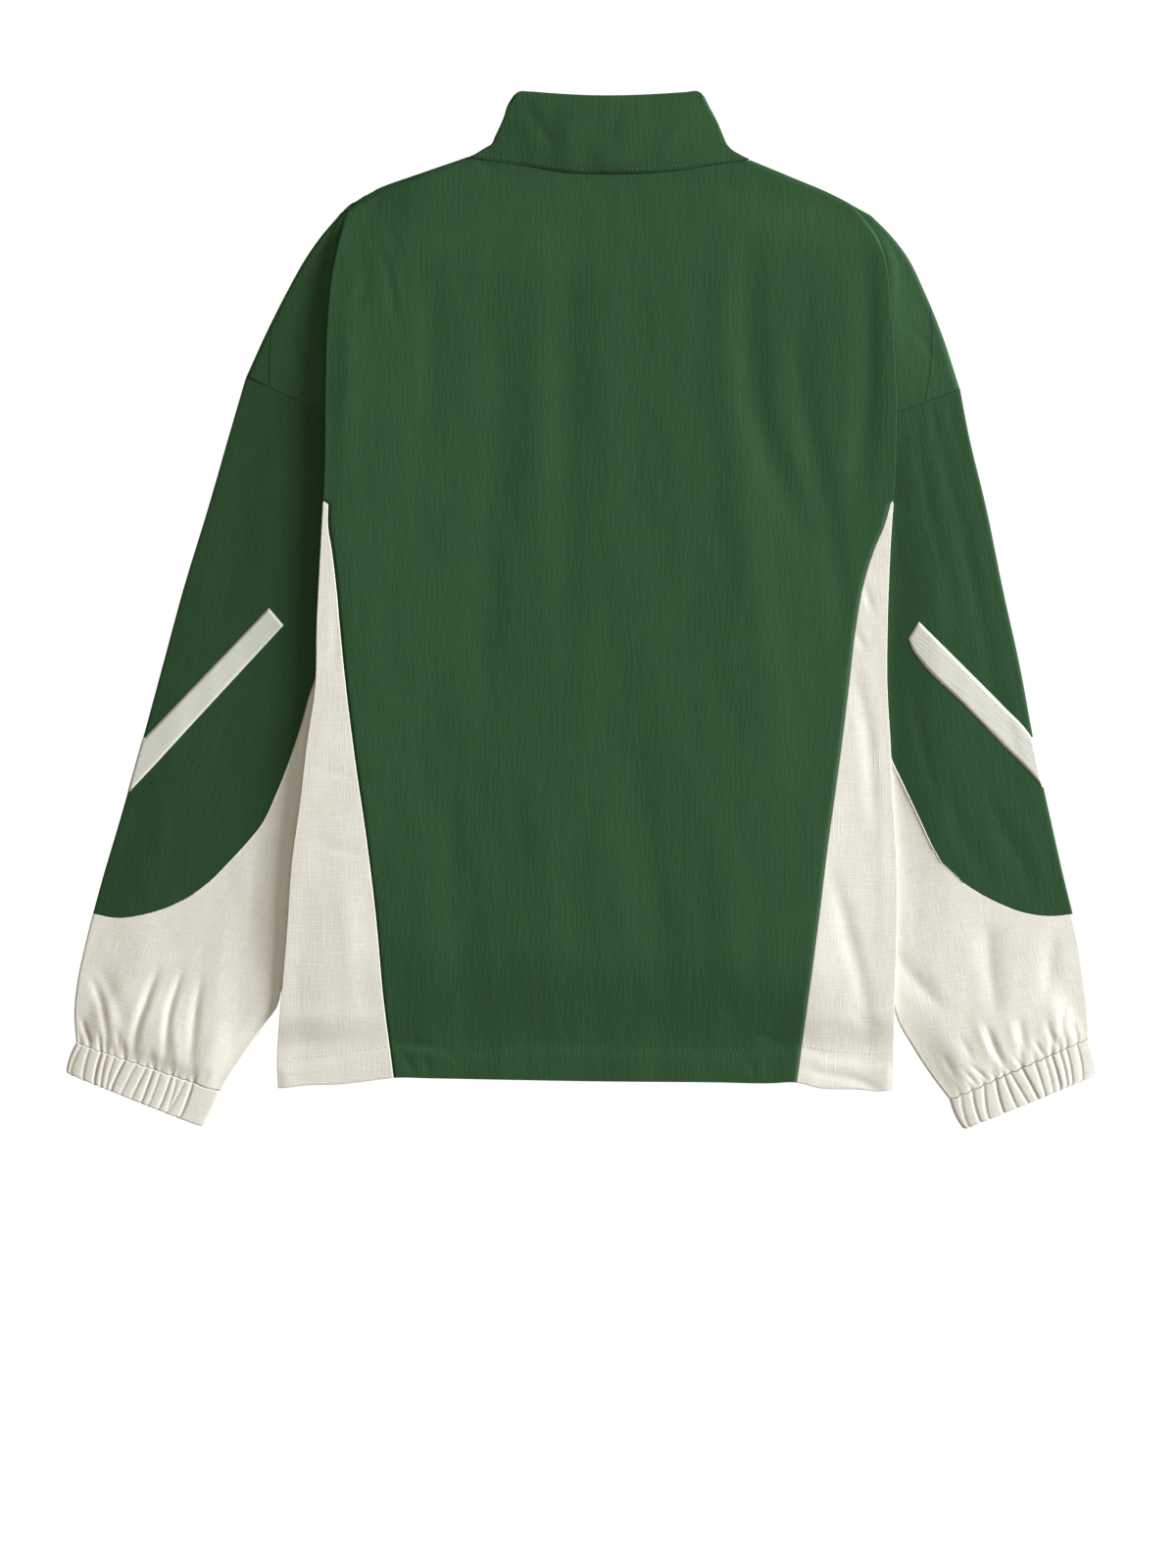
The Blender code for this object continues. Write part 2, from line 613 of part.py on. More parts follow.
def front_seam(side, rows):
    """Seam between front and side panel on the hidden layer, from the underarm's step to the hem."""
    sign = -1 if side == "left" else 1
    start = armhole_x(side, ARMPIT_Y) - sign * STEP
    end = column(SIDE_SEAM, side, HEM_Y)[0]
    y = rows - corner_drop(rows)
    x = start + (end - start) * (ARMPIT_Y - y) / (ARMPIT_Y - HEM_Y)
    return np.stack([x, y], axis=1)


def make_front():
    rows = np.array(FRONT_ROWS, float)
    armpit, seam_row = row_of(rows, ARMPIT_Y), row_of(rows, SLEEVE_Y)
    v = (rows[0] - rows) / (rows[0] - rows[-1])
    edges = {}
    for side in ("left", "right"):
        sign = -1 if side == "left" else 1
        hidden = armhole_x(side, rows)
        upper = np.stack([hidden - sign * STEP, rows], axis=1)
        edges[side] = np.where((rows > ARMPIT_Y - 0.5)[:, None], upper, front_seam(side, rows))
    top, u = front_top(edges)
    edges["left"][0], edges["right"][0] = top[0], top[-1]
    bottom = straight(edges["left"][-1], edges["right"][-1], u)
    bottom[:, 1] = np.maximum(bottom[:, 1], edges["left"][-1, 1])
    middle = patch(top, bottom, edges["left"], edges["right"], u, v)
    wings = {side: front_wing(side, rows, seam_row, middle) for side in ("left", "right")}
    plan = np.concatenate([wings["left"][:, ::-1], middle, wings["right"]], axis=1)
    width = wings["left"].shape[1]
    plan = slit(plan, width + len(top) // 2)
    keep = np.ones((len(rows) - 1, plan.shape[1] - 1), bool)
    keep[armpit:, :width] = False
    keep[armpit:, -width:] = False
    keep[seam_row:, :width - 1] = False
    keep[seam_row:, -(width - 1):] = False
    centre = width + len(top) // 2 - 1
    keep[:slit_row(rows), centre] = False
    return sheet("front", with_height(plan, 0.0), "green_cloth", keep, flip=True)


def front_top(edges):
    """The front's upper edge: shoulders and the lower front neckline, with the slit in its middle."""
    left = along(shoulder_to(SHOULDER["left"], edges["left"][0, 0]), even(3))[::-1]
    right = along(shoulder_to(SHOULDER["right"], edges["right"][0, 0]), even(3))
    left_neck = along(FRONT_NECK["left"], even(6))
    right_neck = along(FRONT_NECK["right"], even(6))[::-1]
    line = np.concatenate([left, left_neck[1:], right_neck[:-1], right])
    shares = (line[:, 0] - line[0, 0]) / (line[-1, 0] - line[0, 0])
    return line, shares


def shoulder_to(outline, x):
    """The shoulder's outline from the neck as far as x."""
    outline = np.array(outline[:4], float)
    order = np.argsort(outline[:, 0])
    y = read_line(outline[order, 0], outline[order, 1], np.array([x]))[0]
    inside = np.abs(outline[:, 0] - outline[0, 0]) < abs(x - outline[0, 0]) - 4
    return np.concatenate([outline[inside], [[x, y]]])


def slit_row(rows):
    return row_of(rows, FRONT_NECK["left"][-1][1] - ZIP_LENGTH)


def slit(plan, middle):
    """Keep the two columns beside the zip straight and a zip's width apart."""
    plan = plan.copy()
    for number, sign in ((middle - 1, -1), (middle, 1)):
        y = plan[:, number, 1]
        plan[:, number, 0] = CENTER_X + CENTER_LEAN * y + sign * (ZIP_WIDTH / 2 + SEAM / 2)
    return plan


def front_wing(side, rows, seam_row, middle):
    """Columns of the front from the underarm's step out to the shoulder's edge."""
    edge = wing_edge(side, rows)
    inner = middle[:, 0] if side == "left" else middle[:, -1]
    count = 1 + WING_COLUMNS
    wing = np.repeat(inner[:, None], count, axis=1)
    hole = np.stack([armhole_x(side, rows), rows], axis=1)
    for row in range(len(rows)):
        if row < seam_row:
            wing[row] = straight(inner[row], edge[row], even(count))[1:]
        elif row == seam_row:
            wing[row] = straight(hole[row], edge[row], even(WING_COLUMNS))
        else:
            wing[row] = hole[row]
    return wing


def make_side(side):
    """Cream side panel: from the back's seam round the side fold and in under it to the front's seam."""
    sign = -1 if side == "left" else 1
    rows = body_rows()
    rows = rows[row_of(rows, TIP_Y):]
    seam = seam_edge(side, rows)
    seam[0, 0] = column(SIDE_FOLD, side, TIP_Y)[0] - sign * (FOLD_RADIUS + LIP)
    under = front_seam(side, rows)
    paths = []
    for row, y in enumerate(rows):
        fold = under_path(side, y)[1:]
        fold[:, 1] -= corner_drop(y)
        upper = straight(seam[row], fold[0, :2], even(4))[:-1]
        height = back_height(upper[:, 0], np.full(len(upper), y))
        upper = with_height(upper, height)
        inner = fold[-1]
        start = inner - np.array([sign * 2.0, 0, 0])
        end = under[row] if y < ARMPIT_Y + 0.5 else start[:2] - np.array([sign * STEP, 0])
        ramp = straight(start[:2], end, even(6))[:-1]
        fall = ease(np.abs(ramp[:, 0] - start[0]) / (STEP - 4))
        ramp = with_height(ramp, start[2] * (1 - fall))
        floor = np.array([[*end, 0.0]])
        paths.append(np.concatenate([upper, fold, ramp, floor]))
    points = np.stack(paths)
    keep = np.ones((len(rows) - 1, points.shape[1] - 1), bool)
    keep[:row_of(rows, ARMPIT_Y), 3 + 1 + FOLD_COLUMNS + 1:] = False
    return sheet("side_" + side, points, "cream_cloth", keep, flip=side == "left")


# ---- sleeves --------------------------------------------------------------------------------------

def sleeve_grid(side):
    """Plan of the green sleeve's upper layer: rows down the sleeve, columns from outer to inner."""
    upper_rows, lower_rows = 5, 9
    rows = upper_rows + lower_rows
    edge = along(SLEEVE_OUT[side], even(rows))
    outer = edge + inward(edge, side) * TUBE_REACH
    armhole = straight(*ARMHOLE[side], even(upper_rows))
    down = along(SLEEVE_SEAM_DOWN[side], even(lower_rows))
    inner = np.concatenate([armhole, down[1:]])
    away = np.array([-1.0 if side == "left" else 1.0, 0.6])
    inner[upper_rows] += away * UNDERARM_CLEAR
    inner[upper_rows + 1] += away * UNDERARM_CLEAR / 2
    across = along(SLEEVE_SEAM_ACROSS[side], even(SLEEVE_COLUMNS))[::-1]
    outer[0] = toward(edge[0], inner[0], TUBE_REACH)
    outer[-1] = toward(edge[-1], across[1], TUBE_REACH)
    across[0] = outer[-1]
    top = straight(outer[0], inner[0], even(SLEEVE_COLUMNS))
    v = lengths(inner) / lengths(inner)[-1]
    plan = patch(top, across, outer, inner, even(SLEEVE_COLUMNS), v)
    return plan, edge, down, across


def tube_points(side, plan, edge):
    """Upper layer, outer fold and flat lower layer of a sleeve, from the upper layer's plan."""
    outer = plan[:, 0]
    way = edge - outer
    way /= np.linalg.norm(way, axis=1)[:, None]
    height = sleeve_height(side, plan[..., 0], plan[..., 1])
    upper = with_height(plan, height)
    fold = roll(outer, way, TUBE_REACH, height[:, 0], 0.0, TUBE_COLUMNS)
    under = with_height(plan, 0.0)
    return np.concatenate([upper[:, ::-1], fold, under], axis=1)


def make_sleeve(side):
    plan, edge, _, _ = sleeve_grid(side)
    points = tube_points(side, plan, edge)
    sheet("sleeve_" + side, points, "green_cloth", flip=side == "left")
    return points


def lower_plan(side):
    """Plan of the cream lower sleeve's upper layer: from its seam with the green down to the cuff."""
    _, _, down, across = sleeve_grid(side)
    seam = np.concatenate([across, down[::-1][1:]])
    edge = along(LOWER_OUT[side], even(LOWER_ROWS))
    outer = edge + inward(edge, side) * TUBE_REACH
    outer[0] = seam[0]
    inner_edge = along(SLEEVE_IN[side], even(LOWER_ROWS))
    inner = inner_edge - inward(inner_edge, side) * TUBE_REACH
    inner[0] = seam[-1]
    inner_edge[0] = inner[0] + inner_edge[1] - inner[1]
    outer[-1] = toward(edge[-1], inner_edge[-1], TUBE_REACH)
    inner[-1] = toward(inner_edge[-1], edge[-1], TUBE_REACH)
    shares = lengths(seam) / lengths(seam)[-1]
    cuff = straight(outer[-1], inner[-1], shares)
    v = even(LOWER_ROWS)
    return patch(seam, cuff, outer, inner, shares, v), edge, inner_edge


def gathers(plan, shares):
    """Height of the soft gathers, which rise towards the cuff."""
    down = np.linalg.norm(plan - plan[-1:], axis=2)
    near = ease(1 - down / GATHER_REACH)
    phase = 2 * math.pi * (GATHERS * shares + 0.25 * np.sin(7 * shares))
    return GATHER_HEIGHT * near * np.cos(phase)[None] * ease(6 * shares) * ease(6 * (1 - shares))


def ring_points(plan, heights, edge, inner_edge, under_step=1):
    """Closed rows of a pressed tube: upper layer, inner fold, flat lower layer, outer fold."""
    way_in = inner_edge - plan[:, -1]
    way_in /= np.linalg.norm(way_in, axis=1)[:, None]
    way_out = edge - plan[:, 0]
    way_out /= np.linalg.norm(way_out, axis=1)[:, None]
    upper = with_height(plan, heights)
    inner = roll(plan[:, -1], way_in, TUBE_REACH, heights[:, -1], 0.0, TUBE_COLUMNS)
    lower = with_height(plan[:, ::-under_step], 0.0)
    outer = roll(plan[:, 0], way_out, TUBE_REACH, heights[:, 0], 0.0, TUBE_COLUMNS)[:, ::-1]
    return np.concatenate([upper, inner, lower, outer], axis=1)


def make_lower(side):
    plan, edge, inner_edge = lower_plan(side)
    shares = lengths(plan[-1]) / lengths(plan[-1])[-1]
    heights = sleeve_height(side, plan[..., 0], plan[..., 1]) + gathers(plan, shares)
    points = ring_points(plan, heights, edge, inner_edge)
    return sheet("sleeve_lower_" + side, points, "cream_cloth", closed=True, flip=side == "right")


def make_cuff(side):
    """Elastic cuff: a pressed ring whose upper layer is drawn up in uneven ridges."""
    start_out, start_in = np.array(LOWER_OUT[side][-1], float), np.array(SLEEVE_IN[side][-1], float)
    end_out, end_in = np.array(CUFF_OUT[side], float), np.array(CUFF_IN[side], float)
    v = even(CUFF_ROWS)
    edge = straight(start_out, end_out, v)
    inner_edge = straight(start_in, end_in, v)
    across = (inner_edge - edge) / np.linalg.norm(inner_edge - edge, axis=1)[:, None]
    shares = even(CUFF_COLUMNS)
    plan = np.stack([straight(a + way * TUBE_REACH, b - way * TUBE_REACH, shares)
                     for a, b, way in zip(edge, inner_edge, across)])
    lean = 0.35 * v[:, None]
    phase = 2 * math.pi * (CUFF_RIDGES * shares + 0.3 * np.sin(9 * shares) + lean)
    body = LAYERS + (CUFF_BULGE - LAYERS) * ease(5 * shares) * ease(5 * (1 - shares))
    strength = CUFF_RIDGE * (0.8 + 0.2 * np.cos(23 * shares)) * ease(8 * shares) * ease(8 * (1 - shares))
    ends = 0.75 + 0.25 * np.sin(math.pi * v)[:, None]
    heights = body[None] * np.ones_like(ends) + ends * strength * np.cos(phase)
    points = ring_points(plan, heights, edge, inner_edge, CUFF_UNDER)
    return sheet("cuff_" + side, points, "cream_cloth", closed=True, flip=side == "right")


def surface_point(surface, centre, way):
    """Where a line from outside, towards the centre, meets the surface."""
    way = Vector(way).normalized()
    hit = surface.ray_cast(Vector(centre) + way * 30, -way)
    return np.array(hit[0]), np.array(way)


def tape_strands(side):
    """Lines along the tape, side by side, from its inner end to the sleeve's outer fold."""
    sign = -1 if side == "left" else 1
    line = along(TAPE_LINE[side], even(60))
    ways = inward(line, side)
    outline = np.array(SLEEVE_OUT[side][::-1], float)
    start = (line[1] - line[0]) / np.linalg.norm(line[1] - line[0])
    strands = []
    for place in np.linspace(-0.5, 0.5, 4):
        strand = line + ways * place * TAPE_WIDTH
        strand[0] += start * place * TAPE_END_SLANT[side]
        edge = read_line(outline[:, 1], outline[:, 0], strand[:, 1]) - sign * (TUBE_REACH + 0.5)
        over = int(np.argmax((strand[:, 0] - edge) * sign > 0))
        strand = strand[:over + 1]
        strand[-1, 0] = edge[over]
        strands.append(along(strand, even(12)))
    return np.stack(strands, axis=1)


def make_stripe(side, sleeve_points):
    """Tape stitched to the sleeve: its points lie on the sleeve's, moved out, and round its outer fold."""
    sign = -1 if side == "left" else 1
    corners = [tuple(point) for point in sleeve_points.reshape(-1, 3)]
    surface = BVHTree.FromPolygons(corners, grid_faces(sleeve_points.shape[:2], None, False))
    plan = tape_strands(side)
    rows = []
    for row in plan:
        rows.append([surface_point(surface, (*place, 0), (0, 0, 1)) for place in row])
    for turn in TAPE_TURNS:
        tilt = math.radians(turn)
        rows.append([surface_point(surface, (*place, TUBE_REACH), (sign * math.cos(tilt), 0, math.sin(tilt)))
                     for place in plan[-1]])
    points = np.array([[place + out * TAPE_GAP for place, out in row] for row in rows])
    return sheet("stripe_" + side, points, "tape", thick=TAPE_THICK, outside=True, flip=side == "right")


# ---- collar and zip -------------------------------------------------------------------------------

def make_collar():
    """Stand collar: front half, fold, back, fold, front half, open at the zip."""
    rows = even(5)
    back_columns, half_columns = BACK_COLUMNS - 8, 6
    top = along(COLLAR_TOP, even(back_columns))
    bottom = along(NECK_SEAM, even(back_columns))
    bottom[:, 1] += COLLAR_CLEAR
    sides = {}
    for side in ("left", "right"):
        edge = along(COLLAR_SIDE[side], rows)
        edge[-1] += np.array(COLLAR_CORNER) * (1 if side == "left" else -1, 1)
        tangent = edge + inward(edge, side) * TUBE_REACH
        tangent[-1] = toward(edge[-1], bottom[1 if side == "left" else -2], TUBE_REACH)
        sides[side] = (edge, tangent)
    top[0], top[-1] = sides["left"][1][0], sides["right"][1][0]
    bottom[0], bottom[-1] = sides["left"][1][-1], sides["right"][1][-1]
    plan = patch(top, bottom, sides["left"][1], sides["right"][1], even(back_columns), rows)
    height = REST + 0.5 * np.sin(np.pi * rows)[:, None] * np.sin(np.pi * even(back_columns))[None]
    middle = with_height(plan, height)
    parts = {}
    for side in ("left", "right"):
        edge, tangent = sides[side]
        way = (edge - tangent) / TUBE_REACH
        column_height = height[:, 0] if side == "left" else height[:, -1]
        fold = roll(tangent, way, TUBE_REACH, column_height, 0.0, TUBE_COLUMNS)
        front_top_line = along(FRONT_COLLAR_TOP[side], even(half_columns))
        front_bottom_line = along(FRONT_NECK[side], even(half_columns))
        front_top_line[0], front_bottom_line[0] = tangent[0], tangent[-1]
        centre = straight(front_top_line[-1], front_bottom_line[-1], rows)
        half = patch(front_top_line, front_bottom_line, tangent, centre, even(half_columns), rows)
        parts[side] = np.concatenate([fold, with_height(half, 0.0)], axis=1)
    points = np.concatenate([parts["left"][:, ::-1], middle, parts["right"]], axis=1)
    return sheet("collar", points, "green_cloth")


def make_zip():
    """Closed half zip in the front's slit and between the collar's ends, as one flat strip."""
    top_y = FRONT_COLLAR_TOP["left"][-1][1]
    bottom_y = body_rows()[slit_row(body_rows())]
    ys = np.linspace(top_y, bottom_y, 7)
    middle = CENTER_X + CENTER_LEAN * ys
    offsets = np.array([-0.5, 0.0, 0.5]) * (ZIP_WIDTH + SEAM / 2)
    plan = np.stack([np.stack([middle + offset, ys], axis=1) for offset in offsets], axis=1)
    return sheet("zip", with_height(plan, 0.0), "zip", thick=ZIP_HEIGHT, flip=True)


def main():
    clear_scene()
    group = bpy.data.collections.get(COLLECTION) or bpy.data.collections.new(COLLECTION)
    if group.name not in bpy.context.scene.collection.children:
        bpy.context.scene.collection.children.link(group)
    make_back()
    make_front()
    make_collar()
    make_zip()
    for side in ("left", "right"):
        make_side(side)
        sleeve_points = make_sleeve(side)
        make_lower(side)
        make_cuff(side)
        make_stripe(side, sleeve_points)


main()
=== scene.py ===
"""Cloth, sewing and finishes of a stand-collar track top that lies flat with its back up.

Every piece is a thin shell of cloth on the form of its solid, with its folds and creases given one by one.
The tables are in millimetres, seen from above: x runs to the right, y towards the collar, z up from the
surface that the garment lies on. "left" and "right" are as seen from above.
"""
import json
import math

import bpy
import numpy as np
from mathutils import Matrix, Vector, noise
from mathutils.bvhtree import BVHTree

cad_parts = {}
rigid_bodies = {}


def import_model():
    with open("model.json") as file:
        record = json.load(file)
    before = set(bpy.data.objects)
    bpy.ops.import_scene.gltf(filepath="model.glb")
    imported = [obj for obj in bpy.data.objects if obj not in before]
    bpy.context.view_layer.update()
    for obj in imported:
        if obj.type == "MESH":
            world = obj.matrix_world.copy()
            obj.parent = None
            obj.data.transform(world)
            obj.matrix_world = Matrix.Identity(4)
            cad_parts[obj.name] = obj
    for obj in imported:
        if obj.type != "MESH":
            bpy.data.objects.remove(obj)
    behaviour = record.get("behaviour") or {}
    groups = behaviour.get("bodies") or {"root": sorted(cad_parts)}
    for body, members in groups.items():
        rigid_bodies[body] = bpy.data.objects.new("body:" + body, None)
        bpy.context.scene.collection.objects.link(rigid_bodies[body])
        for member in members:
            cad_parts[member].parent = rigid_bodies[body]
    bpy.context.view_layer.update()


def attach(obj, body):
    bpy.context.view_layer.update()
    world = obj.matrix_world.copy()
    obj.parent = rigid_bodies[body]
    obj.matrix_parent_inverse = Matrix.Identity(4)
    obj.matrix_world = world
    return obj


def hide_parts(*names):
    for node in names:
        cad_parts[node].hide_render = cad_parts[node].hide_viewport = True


MM = 0.001                       # tables are in millimetres, the scene in metres

# Cloth
THIN = 0.5                       # thickness of a cloth shell
BAND = 0.9                       # of the collar, which is two cloths sewn together
SEAM = 0.12                      # gap between two sewn pieces
SEAM_DIP = 0.3                   # how far the cloth dips into a seam
EDGE_STEPS = (0.4, 1.1, 2.2)     # distances of the grid's first lines from an edge
SPACING = 2.8                    # between the lines of a grid on the shown side
UNDER_SPACING = 6.0              # and on the side that lies on the surface

# Heights
REST_GAP = 0.6                   # gap under the body's side where it lies on the sleeve
FOLD_RADIUS = 1.8                # where the body's side turns under
FOLD_SQUASH = 0.25               # that fold's breadth over its height
TUCK_RADIUS = 0.3                # of the hollow fold between the body and its shoulder
REST = 4.0                       # the back along its neck and hem
LOFT = 7.0                       # how far the middle of the back stands over that
LOFT_START = 20.0                # how far above the hem it starts to rise
LOFT_REACH = dict(neck=90, hem=80)       # distances from its edges over which it rises
STACK_WIDTH = 8.0                # how far the back stays as high as its side fold
STACK_FADE = 110.0               # and over how much more it sinks to its middle
EDGE_ROLL = 3.2                  # half width of the rounding at the shoulder's edge
EDGE_LOW = 0.55                  # where it meets the front panel
LIP = 2.8                        # breadth of the cloth beside the body's side fold
TIP_LIP = 0.25                   # and at the tip of the side panel
TIP_REACH = 40.0                 # over which the first grows from the second
FOLD_START = 0.12                # width of its last flat strip
STEP = 18.0                      # width over which the side panel comes down at the underarm

# Heights of the garment's stations up the page
TOP_Y = 307.0                    # where the shoulder's fold begins
SLEEVE_Y = 140.0                 # hidden top of the seam that joins shoulder and sleeve
TIP_Y = 81.0                     # tip of the cream side panel at the body's side fold
ARMPIT_Y = 1.0                   # underarm point, hidden under the body
LIFT_END_Y = -305.0              # below this the body's side no longer lies on the sleeve
FLOOR_Y = -329.0                 # and from here on it lies on the floor
HEM_Y = -355.0                   # bottom edge of the back

# The garment's centre line leans a little: x = CENTER_X + CENTER_LEAN * y
CENTER_X = 12.2
CENTER_LEAN = 0.0229
ZIP_WIDTH = 6.0
ZIP_LENGTH = 250.0               # below the front's neckline

SIDES = ("left", "right")
SIGN = dict(left=-1, right=1)    # of x, away from the body's middle

# Numbers of columns in the pieces' grids
FOLD_COLUMNS = 8                 # around the body's side fold
HOLLOW_COLUMNS = 4               # around the hollow fold under it
WING_COLUMNS = 26                # across the dropped shoulder, on the back
FRONT_WING_COLUMNS = 11          # and on the front
SIDE_COLUMNS = 25                # across the side panel, besides those near its seam
RAMP_COLUMNS = 14                # and where it comes down on the hidden side
ARM_COLUMNS = 5                  # around an arm's outer fold, besides its ends

# Side edges of the body: where the back folds under
SIDE_FOLD = dict(
    y=(307, 275, 227, 168, 105, 46, -14, -58, -101, -145, -188, -247, -298, -335, -361),
    left=(-174, -183.5, -190.2, -192.4, -193.1, -196.1, -199.1, -200.2, -206.5, -211.6, -217.6, -222,
          -226.4, -229.4, -228.5),
    right=(203, 225, 233.1, 237.2, 236.8, 233.1, 230.9, 230.7, 233.1, 235.3, 237.9, 238, 236.4, 235.9,
           235.4))

# Seam between the green back and the cream side panels
SIDE_SEAM = dict(
    y=(81, 60, 46, 16, -14, -58, -117, -176, -236, -295, -355),
    left=(-190, -190, -187.7, -184, -181.3, -176.9, -169.5, -161, -153.9, -148.7, -141.3),
    right=(233.7, 227, 221, 211.8, 206.5, 201.3, 193.9, 185.7, 178.3, 170.5, 162.1))

# The fold between the body and its shoulder: how far the cloth turns (degrees), how far it drops, how
# much the row leans with the shoulder, its two radii, and how far the cloth runs in under the body
TUCK = dict(
    y=(307, 297, 285, 272, 262, 252, 236, 205, 176, 140),
    turn=(8, 22, 48, 90, 140, 180, 180, 180, 180, 180),
    drop=(0.2, 0.9, 2.4, 4.2, 4.2, 4.2, 4.2, 4.2, 4.2, 4.2),
    lean=(0.69, 0.4, 0.15, 0, 0, 0, 0, 0, 0, 0),
    radius=(12, 8, 3.8, 1.8, 1.8, 1.8, 1.8, 1.8, 1.8, 1.8),
    hollow=(6, 4, 1.6, 0.3, 0.3, 0.3, 0.3, 0.3, 0.3, 0.3),
    run=(0, 0, 0, 0, 0, 3, 9, 18, 22, 20.6))
TUCK_LIMITS = dict(              # least and most of each, between the rows of that table
    turn=(0, 180), drop=(0, 9), lean=(0, 1), radius=(FOLD_RADIUS, 20), hollow=(TUCK_RADIUS, 20),
    run=(0, 30))

# Outlines of the arms, from the shoulders down to the cuffs, and the armhole's seam
ARMHOLE = dict(left=((-170, SLEEVE_Y), (-172, ARMPIT_Y)), right=((214, SLEEVE_Y), (211, ARMPIT_Y)))

SHOULDER = dict(
    left=((-85, 341), (-124, 327), (-161, 312), (-183, 297), (-196, 282), (-206, 268), (-223, 238),
          (-238, 208), (-253, 175)),
    right=((128, 339), (157, 327), (192, 312), (219, 297), (234, 282), (245, 268), (260, 238),
           (273, 206), (286, 166)))
SLEEVE_OUT = dict(
    left=((-253, 175), (-265, 134), (-282, 75), (-300, 16), (-316, -43), (-332, -102), (-349, -162),
          (-362, -206), (-368.5, -230)),
    right=((286, 166), (292, 134), (306, 75), (318, 16), (331, -43), (342, -102), (355, -162),
           (365, -206), (371, -230)))
LOWER_OUT = dict(
    left=((-368.5, -230), (-374, -252), (-380, -280), (-382.5, -305), (-381, -327)),
    right=((371, -230), (376, -252), (380, -280), (383, -305), (383.5, -323)))
SLEEVE_IN = dict(
    left=((-172, ARMPIT_Y), (-173, -58), (-185, -132), (-201, -206), (-217, -262), (-226, -287),
          (-229, -299), (-239, -313), (-252, -333), (-263, -349), (-272, -364)),
    right=((211, ARMPIT_Y), (207, -58), (212, -132), (221, -206), (228, -269), (235, -295),
           (238, -308), (250, -330), (265, -353), (278, -370)))

# Seam between the green and the cream of the sleeves: down its inner side, then across to the outer fold
SLEEVE_SEAM_DOWN = dict(
    left=((-172, ARMPIT_Y), (-187, -28), (-201, -58), (-210, -88), (-220, -117), (-229, -139),
          (-240, -162), (-252, -177), (-265, -191)),
    right=((211, ARMPIT_Y), (219, -34), (225, -65), (232, -110), (242, -132), (249, -147), (257, -164),
           (264, -179), (271, -191)))
SLEEVE_SEAM_ACROSS = dict(
    left=((-265, -191), (-280, -206), (-303, -221), (-328, -230), (-350, -233), (-368.5, -230)),
    right=((271, -191), (289, -207), (313, -221), (334, -229), (353, -231.5), (371, -230)))

# Seam of each shoulder, which runs down its outer edge to the sleeve
SHOULDER_SEAM = dict(
    left=((-233.4, 215.7), (-234.8, 190), (-235.3, 168.7)),
    right=((263.2, 232), (264.6, 205), (263.4, 180), (259.9, 157.6)))

# How high the shoulders and sleeves stand under the body's side fold
ARM_Y = (307, 292, 262, 230, 180, 120, 60, -100, -200, -260, -305, -361)
ARM_TOP = dict(
    y=ARM_Y,
    left=(3.2, 3.8, 6.0, 8.0, 10.0, 10.2, 10.2, 9.2, 8.2, 6.8, 4.8, 3.8),
    right=(3.2, 3.8, 5.8, 7.2, 6.8, 4.6, 3.8, 3.8, 4.2, 4.4, 4.2, 3.8))
ARM_REACH = dict(left=85, right=40)      # how far out from that fold they come down
ARM_FALL = dict(left=6.0, right=1.6)     # 1 is an even slope, more is steeper beside the body
ARM_CROWN = dict(left=1.5, right=0.7)    # how far they stand over their outer edge beyond that
ARM_CROWN_REACH = 65.0
ARM_ROLL = 1.3                   # half width of the rounding at an arm's edges
ARM_EDGE = dict(                 # height of the arms at that rounding
    y=ARM_Y,
    left=(2.6, 2.6, 2.4, 2.2, 2.0, 1.8, 1.8, 1.8, 1.8, 2.2, 3.0, 3.4),
    right=(3.4, 3.4, 3.4, 3.4, 3.8, 5.0, 5.8, 5.8, 5.6, 4.8, 3.8, 3.4))
ARM_FREE = dict(y=-285, fade=30, breadth=16)      # below this height an arm lies free of the body
LOWER_LEAST = 2.4                # least height of the lower sleeve's upper layer

# Where creases and unevenness fade out: distances from the edges, or the start and the width
CALM_EDGE = (3, 16)
CALM_NECK = 12.0
CALM_ARM = dict(body=9, outer=14)
CALM_ZIP = (8, 30)
RIPPLES = dict(                  # unevenness of each cloth: size of its waves, amount and seed
    back=((17, 0.2, 3.0), (48, 0.6, 7.0)), arm=((13, 0.15, 11.0), (36, 0.4, 15.0)),
    collar=((20, 0.6, 33.0),), front=((30, 1.1, 21.0),), sleeve=((30, 1.1, 25.0),),
    lower=((30, 1.1, 29.0),))

PUFF = 2.4                       # how far the sleeve puffs out above its cuff
PUFF_REACH = 26.0                # distance above it where that is highest
CUFF_BOW = dict(left=1.2, right=1.4)      # how far a cuff's sides bow out
CUFF_OUT = dict(left=(-389, -350), right=(390, -351))
CUFF_IN = dict(left=(-286, -391), right=(289, -393))
CUFF_ROUND = 5.2                 # height of a cuff between its folds
CUFF_EDGE = 3.4                  # and at its sides
CUFF_SWELL = 0.28                # how far its cloth swells between two folds
CUFF_GROOVE = 0.85               # half width of a fold
CUFF_SCALLOP = 0.9               # how far the sleeve's cloth hangs over it between two folds
CUFF_FOLD_SHARE = 0.5            # of the folds' depths below
CUFF_CORNER = 3.0                # rounding of its outer corners
TUCK_LINE = (4.0, 5.0)           # how far a tuck runs above its fold, and more with the fold's depth
TUCK_HALF = (1.3, 0.3)           # its half width, and more with that depth
TUCK_DEEP = 0.5                  # its depth as a share of the fold's
CUFF_MEET = dict(below=0.6, reach=12.0, share=0.75)      # how the sleeve comes down to its cuff
CUFF_SWELL_REACH = 2.4           # from a fold to the crown of the swelling beside it
CUFF_UNDER = 0.55                # how much of its folds shows below
